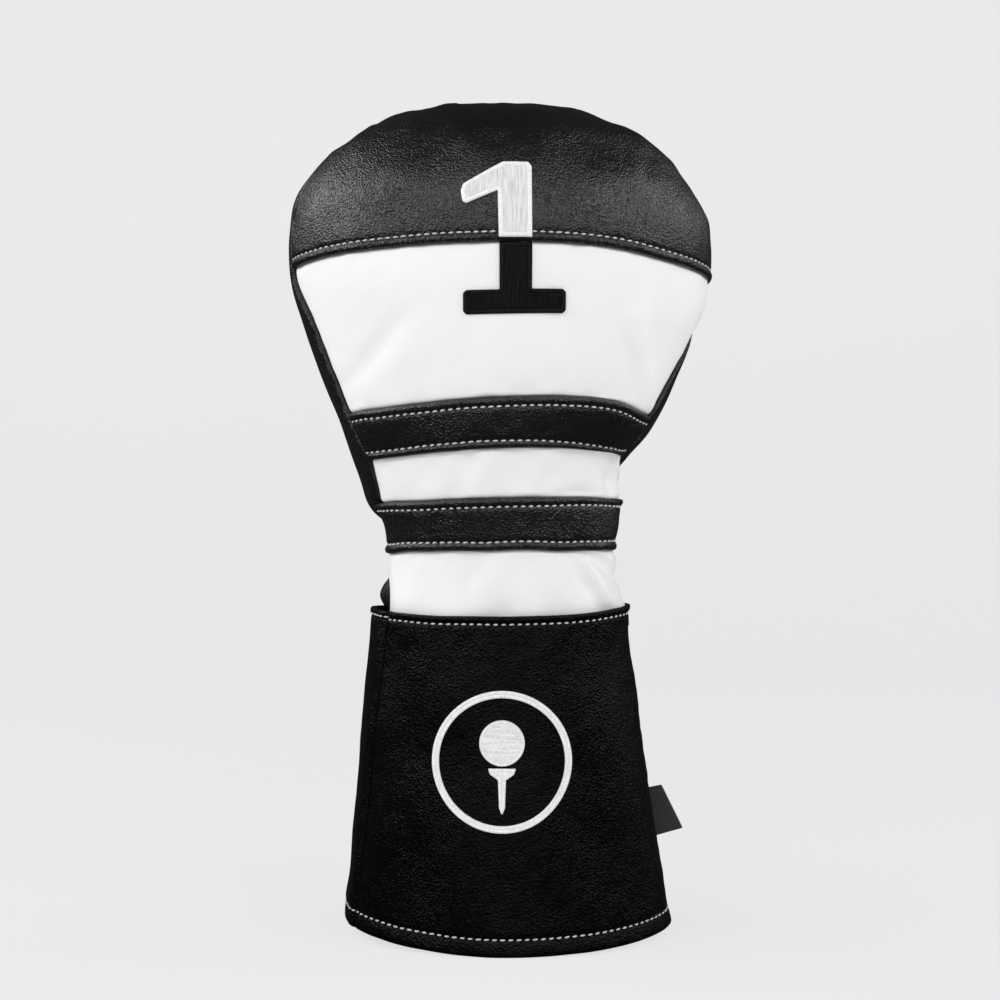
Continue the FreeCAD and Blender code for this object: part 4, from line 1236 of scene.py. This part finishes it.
def embroider(name, form, loops, border, high, fill_high, base, material, nodes, slot, grid=0.13, pitch=0.5, fill_dir=(0.0, 1.0),
              dents=(), fill_painted_shade=1.0, clip=None, skirt=0.35):
    """Raised satin stitching: a domed border of short threads round a filling of long ones."""
    allp = np.concatenate(loops)
    lo, hi = allp.min(0) - grid, allp.max(0) + grid
    xs, zs = np.arange(lo[0], hi[0] + grid, grid), np.arange(lo[1], hi[1] + grid, grid)
    X, Z = np.meshgrid(xs, zs)
    d, s, near = outline_fields(loops, X, Z)
    snap = np.abs(d) < grid * 0.5
    X2, Z2 = np.where(snap, near[..., 0], X), np.where(snap, near[..., 1], Z)
    d2 = np.where(snap, 0.0, d)
    keep = d2 >= 0
    q = keep[:-1, :-1] & keep[:-1, 1:] & keep[1:, 1:] & keep[1:, :-1]
    used = np.zeros(X.shape, bool)
    for r, c in ((0, 0), (0, 1), (1, 1), (1, 0)):
        used[r:r + q.shape[0], c:c + q.shape[1]] |= q
    idx = np.full(X.shape, -1)
    idx[used] = np.arange(used.sum())
    ii, jj = np.nonzero(q)
    quads = np.stack([idx[ii, jj], idx[ii, jj + 1], idx[ii + 1, jj + 1], idx[ii + 1, jj]], -1)
    x, z, dd, ss = X2[used], Z2[used], d2[used], s[used]
    w = np.clip(dd / border, 0, 1)
    dome_ = np.sin(np.pi * np.clip(w, 0, 1)) ** 0.55
    fx, fz = fill_dir
    across, lengthwise = x * fz - z * fx, x * fx + z * fz
    jitter = 0.25 * waves(61, 6)(np.stack([x, z, 0 * x], -1))
    in_border = 1 - ramp(dd, border * 0.94, border * 1.06)
    ridge_b = 0.5 + 0.5 * np.cos(2 * math.pi * (ss + 0.05 * jitter) / pitch)
    ridge_f = 0.5 + 0.5 * np.cos(2 * math.pi * (across + 0.06 * jitter) / pitch)
    row_break = 0.5 + 0.5 * np.cos(2 * math.pi * (lengthwise / 5.5 + 0.37 * np.floor(across / pitch)))
    hb = high * (0.18 + 0.82 * dome_) + 0.07 * ridge_b * dome_
    hf = fill_high + 0.08 * ridge_f - 0.10 * ramp(row_break, 0.9, 1.0) - 0.12 * np.exp(-((dd - border) / 0.25) ** 2)
    h = hb * in_border + hf * (1 - in_border)
    for cx, cz, r in dents:
        rr = np.hypot(x - cx, z - cz) / r
        h = h - 0.26 * np.exp(-rr ** 4)
    h = np.where(dd < 1e-6, 0.12, h)
    b = base(x, z)
    phi, t = land(form, x, z, b + h)
    top, _q = form.at(phi, t, b + h)
    phi, t = land(form, x, z, b - skirt)
    bot, _q = form.at(phi, t, b - skirt)
    n = len(x)
    faces = quads.tolist() + (quads[:, ::-1] + n).tolist()
    e = np.concatenate([quads[:, [0, 1]], quads[:, [1, 2]], quads[:, [2, 3]], quads[:, [3, 0]]])
    key = e[:, 0].astype(np.int64) * n + e[:, 1]
    back_key = e[:, 1].astype(np.int64) * n + e[:, 0]
    rim_ = e[~np.isin(key, back_key)]
    faces += [[int(v), int(u), int(u) + n, int(v) + n] for u, v in rim_]
    uv = np.where((in_border > 0.5)[:, None], np.stack([ss, dd * 3], -1), np.stack([across, lengthwise], -1))
    # painted shade: how far the filling's colour goes to the darker fill colour
    tone = (1 - in_border) * fill_painted_shade
    return make(name, np.concatenate([top, bot]), faces, material, nodes, slot, uv=np.concatenate([uv, uv]),
                tone=np.concatenate([tone, tone]))


def crown_arc_z(x):
    return arch_z("crown", x)


one_top = rounded([(-0.53, float(crown_arc_z(-0.5)) + 1.25), (11.4, float(crown_arc_z(11.4)) + 1.15), (11.3, 287.0), (10.1, 288.7), (1.0, 288.7),
                   (-13.3, 280.2), (-14.2, 277.6), (-13.5, 273.6), (-12.2, 272.9), (-0.95, 277.6)],
                  [0.3, 0.3, 0.9, 0.9, 2.0, 1.0, 1.2, 0.7, 0.7, 0.3])
one_low = rounded([(-0.3, float(crown_arc_z(-0.3)) - 0.35), (-0.3, 242.4), (-12.3, 242.2), (-13.4, 241.1), (-13.4, 234.7), (-12.3, 233.5),
                   (22.5, 234.2), (23.6, 235.3), (23.6, 241.7), (22.5, 242.8), (11.4, 242.7), (11.5, float(crown_arc_z(11.5)) - 0.35)],
                  [0.2, 0.5, 1.2, 1.0, 1.0, 1.2, 1.2, 1.0, 1.0, 1.2, 0.5, 0.2])


def on_crown(x, z):
    """Just over the crown's skin, also where its edge is rolled."""
    up = z - crown_arc_z(x)
    return np.interp(up, [0.9, 1.6, 2.2, 3.0, 4.0, 6.0], [1.55, 1.72, 1.8, 1.72, 1.68, 1.66])


embroider("numeral_upper_satin", head, [one_top], 1.7, 0.85, 0.55, on_crown, SATIN_WHITE, ["numeral_upper"], "white_embroidery")
embroider("numeral_lower_satin", head, [one_low], 1.7, 0.95, 0.6, lambda x, z: 0.08 - 0.55 * np.exp(-np.maximum(crown_arc_z(x) - z, 0) / 0.7),
          SATIN_BLACK, ["numeral_lower"], "black_embroidery")


def circle(cx, cz, r, n=96, flip=False):
    a = np.linspace(0, 2 * math.pi, n, endpoint=False)
    if flip:
        a = a[::-1]
    return np.stack([cx + r * np.cos(a), cz + r * np.sin(a)], -1)


def on_cuff(x, z):
    P = np.stack([x, np.full_like(x, -39.0), z], -1)
    return 0.30 + 0.16 * fold_n(P * np.array([1, 1, 0.7]))


RX, RZ = 0.63, 70.87
embroider("emblem_ring_satin", cuff, [circle(RX, RZ, 25.9, 160), circle(RX, RZ, 23.2, 150, True)], 1.36, 0.75, 0.7, on_cuff, SATIN_WHITE,
          ["emblem_ring"], "white_embroidery", fill_painted_shade=0.0)
dimples = [(RX + 2.1 * (i_ + 0.5 * (k_ % 2)), 77.6 + 1.82 * k_, 0.62) for i_ in range(-4, 5) for k_ in range(-4, 5)
           if math.hypot(2.1 * (i_ + 0.5 * (k_ % 2)), 1.82 * k_) < 6.6]
embroider("emblem_ball_satin", cuff, [circle(RX, 77.6, 8.4, 90)], 1.2, 0.75, 0.62, on_cuff, SATIN_WHITE, ["emblem_ball"], "white_embroidery",
          fill_dir=(1.0, 0.0), dents=dimples, fill_painted_shade=0.35)
tee = rounded([(RX - 5.2, 68.4), (RX - 4.4, 66.2), (RX - 1.5, 64.2), (RX - 1.1, 54.1), (RX, 51.4), (RX + 1.1, 54.1), (RX + 1.5, 64.2),
               (RX + 4.4, 66.2), (RX + 5.2, 68.4)], 0.4)
embroider("emblem_tee_satin", cuff, [tee], 1.3, 0.7, 0.65, on_cuff, SATIN_WHITE, ["emblem_tee"], "white_embroidery", fill_painted_shade=0.0)


# ----------------------------------------------------------------- side tab
def woven_tab():
    """A folded ribbon: two leaves from the seam, joined by a rounded fold."""
    lo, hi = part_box("side_tab")
    y0 = (lo.y + hi.y) / 2 / MM
    root_lo, root_hi = np.array([59.7, 36.3]), np.array([57.0, 55.0])
    end_lo, end_hi = np.array([70.9, 39.45]), np.array([62.7, 56.1])
    wide_n = 44
    w = np.linspace(0, 1, wide_n)
    path = []
    half, thick = 0.52, 0.5
    reach_n = 26
    for k in range(reach_n):
        path.append((k / (reach_n - 1) * 0.955, -1))
    turn = [(0.955 + 0.045 * math.sin(a), -math.cos(a)) for a in np.linspace(0, math.pi, 11)[1:-1]]
    path += turn
    for k in range(reach_n - 1, -1, -1):
        path.append((k / (reach_n - 1) * 0.955, 1))
    centre = []
    for s, side in path:
        a, b = root_lo + (end_lo - root_lo) * s, root_hi + (end_hi - root_hi) * s
        line = a[None] + (b - a)[None] * w[:, None]
        sag = 0.16 * np.sin(math.pi * w) * math.sin(math.pi * min(s, 1.0))
        y = y0 + side * half + sag + 0.12 * np.sin(w * 5 + s * 3)
        centre.append(np.stack([line[:, 0] + SHIFT_X, y, line[:, 1]], -1))
    C = np.array(centre)
    du, dv = np.gradient(C, axis=0), np.gradient(C, axis=1)
    N = unit(np.cross(du, dv))
    edge = 1 - 0.45 * np.exp(-np.minimum(w, 1 - w) * 18 / 0.5)[None, :, None]
    A, B = C + N * thick / 2 * edge, C - N * thick / 2 * edge
    m, q = C.shape[:2]
    n = m * q
    idx = np.arange(n).reshape(m, q)
    a, b, c, d = idx[:-1, :-1], idx[:-1, 1:], idx[1:, 1:], idx[1:, :-1]
    f = np.stack([a, b, c, d], -1).reshape(-1, 4)
    faces = f.tolist() + (f[:, ::-1] + n).tolist()
    loop = [*idx[0, :-1], *idx[:-1, -1], *idx[-1, :0:-1], *idx[:0:-1, 0]]
    for k in range(len(loop)):
        u, v = int(loop[k]), int(loop[(k + 1) % len(loop)])
        faces.append([v, u, u + n, v + n])
    run = np.concatenate([[0], np.cumsum(np.linalg.norm(np.diff(C[:, q // 2], axis=0), axis=1))])
    uv = np.stack([np.broadcast_to(run[:, None], (m, q)), np.broadcast_to(w[None] * 18.4, (m, q))], -1).reshape(-1, 2)
    ob = make("side_tab_ribbon", np.concatenate([A.reshape(-1, 3), B.reshape(-1, 3)]), faces, WOVEN, ["side_tab"], "woven_tab", "tab",
              uv=np.concatenate([uv, uv]))
    return ob


woven_tab()
lo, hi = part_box("tab_seam_end")
ty = (lo.y + hi.y) / 2 / MM
z_lo, z_hi = lo.z / MM, hi.z / MM
mid_x = 61.0
ang = lambda y: math.atan2(mid_x / 58.0, -(y - SHIFT_Y) / 39.5)
G, F_ = ring(cuff, [(z_lo + 0.3, -1.35), (z_hi - 0.3, -1.35), (z_hi - 0.3, -0.75), (z_lo + 0.3, -0.75)], 4, a0=ang(ty - 0.6), a1=ang(ty + 0.6))
make("tab_seam_end_ribbon", G, F_, WOVEN, ["tab_seam_end"], "woven_tab", uv=G[:, [1, 2]])


# ============================================================ floor and light
def floor():
    """A pale sweep: floor, and a wall that it curves up into."""
    prof = [(-15.0, 0.0), (0.9, 0.0)] + [(0.9 + 0.5 * math.sin(a), 0.5 - 0.5 * math.cos(a)) for a in np.linspace(0.1, math.pi / 2, 16)] + [(1.4, 1.05)]
    verts, faces = [], []
    for y, z in prof:
        verts += [(-15.0, y, z), (15.0, y, z)]
    for i in range(len(prof) - 1):
        faces.append([2 * i, 2 * i + 1, 2 * i + 3, 2 * i + 2])
    me = bpy.data.meshes.new("studio_sweep")
    me.from_pydata(verts, [], faces)
    me.polygons.foreach_set("use_smooth", np.ones(len(me.polygons), bool))
    m, nt, bsdf = new_material("studio_paper")
    bsdf.inputs["Base Color"].default_value = (0.15, 0.15, 0.15, 1)
    bsdf.inputs["Roughness"].default_value = 1.0
    bsdf.inputs["Specular IOR Level"].default_value = 0.0
    bsdf.inputs["Emission Color"].default_value = (1, 1, 1, 1)
    bsdf.inputs["Emission Strength"].default_value = 0.70
    me.materials.append(m)
    ob = bpy.data.objects.new("studio_sweep", me)
    bpy.context.scene.collection.objects.link(ob)
    ob.visible_glossy = False


floor()


def area_light(name, at, aim, size, size_y, power):
    d = bpy.data.lights.new(name, "AREA")
    d.shape, d.size, d.size_y, d.energy = "RECTANGLE", size, size_y, power
    o = bpy.data.objects.new(name, d)
    bpy.context.scene.collection.objects.link(o)
    from mathutils import Vector
    o.location = at
    o.rotation_euler = (Vector(aim) - Vector(at)).to_track_quat("-Z", "Y").to_euler()
    return o


for az, el, radiance in ((-105, 30, 4.5), (-75, 30, 5.0), (-45, 30, 3.1), (-15, 35, 2.5), (15, 35, 1.4), (45, 30, 4.2), (75, 30, 2.2), (105, 30, 2.7)):
    a_, e_ = math.radians(az), math.radians(el)
    area_light("softbox_%d" % (az + 180), (1.5 * math.sin(a_) * math.cos(e_), -1.5 * math.cos(a_) * math.cos(e_), 0.19 + 1.5 * math.sin(e_)),
               (0, 0, 0.19), 0.75, 0.55, math.pi * 0.75 * 0.55 * radiance)
area_light("softbox_front", (-0.05, -1.48, 0.36), (0, 0, 0.19), 0.75, 0.30, math.pi * 0.75 * 0.30 * 3.0)
area_light("softbox_low_right", (1.46, 0.20, 0.38), (0, 0, 0.19), 0.40, 0.35, math.pi * 0.40 * 0.35 * 3.0)

world = bpy.data.worlds.new("studio")
bpy.context.scene.world = world
world.use_nodes = True
wn = Net(world.node_tree)
up_ = wn.node("ShaderNodeSeparateXYZ", {0: wn.node("ShaderNodeTexCoord").outputs["Generated"]}).outputs[2]
seen = wn.node("ShaderNodeMapRange", {"Value": up_, "From Min": 0.03, "From Max": 0.6, "To Min": 0.83, "To Max": 0.80}).outputs[0]
glow = wn.math("MULTIPLY_ADD", wn.node("ShaderNodeLightPath").outputs["Is Camera Ray"], wn.math("SUBTRACT", seen, 0.04), 0.04)
back_ = world.node_tree.nodes["Background"]
back_.inputs[0].default_value = (1, 1, 1, 1)
world.node_tree.links.new(glow, back_.inputs[1])

cam_data = bpy.data.cameras.new("camera")
cam_data.lens, cam_data.sensor_width = 60.0, 36.0
cam = bpy.data.objects.new("camera", cam_data)
bpy.context.scene.collection.objects.link(cam)
cam.location = (-0.0001, -0.6469, 0.167)
cam.rotation_euler = (math.pi / 2, 0, 0)
cam_data.clip_start, cam_data.clip_end = 0.01, 50
bpy.context.scene.camera = cam
bpy.context.scene.view_settings.view_transform = "Standard"
bpy.context.scene.view_settings.look = "None"
bpy.context.scene.view_settings.exposure = 0.0
bpy.context.scene.view_settings.gamma = 1.0

left_over = {"cuff_lining": LINING, "fleece": FLEECE, "foam": FOAM, "elastic": ELASTIC, "woven_tab": WOVEN, "thread": THREAD,
             "black_leather": BLACK, "white_leather": WHITE, "white_embroidery": SATIN_WHITE, "black_embroidery": SATIN_BLACK}
slots = {s["node"]: s["material_slot"] for s in frame["record"]["subparts"]}
for node_name, ob in frame["nodes"].items():
    mat = left_over.get(slots.get(node_name), LINING)
    ob.data.materials.clear()
    ob.data.materials.append(mat)

bpy.context.view_layer.update()
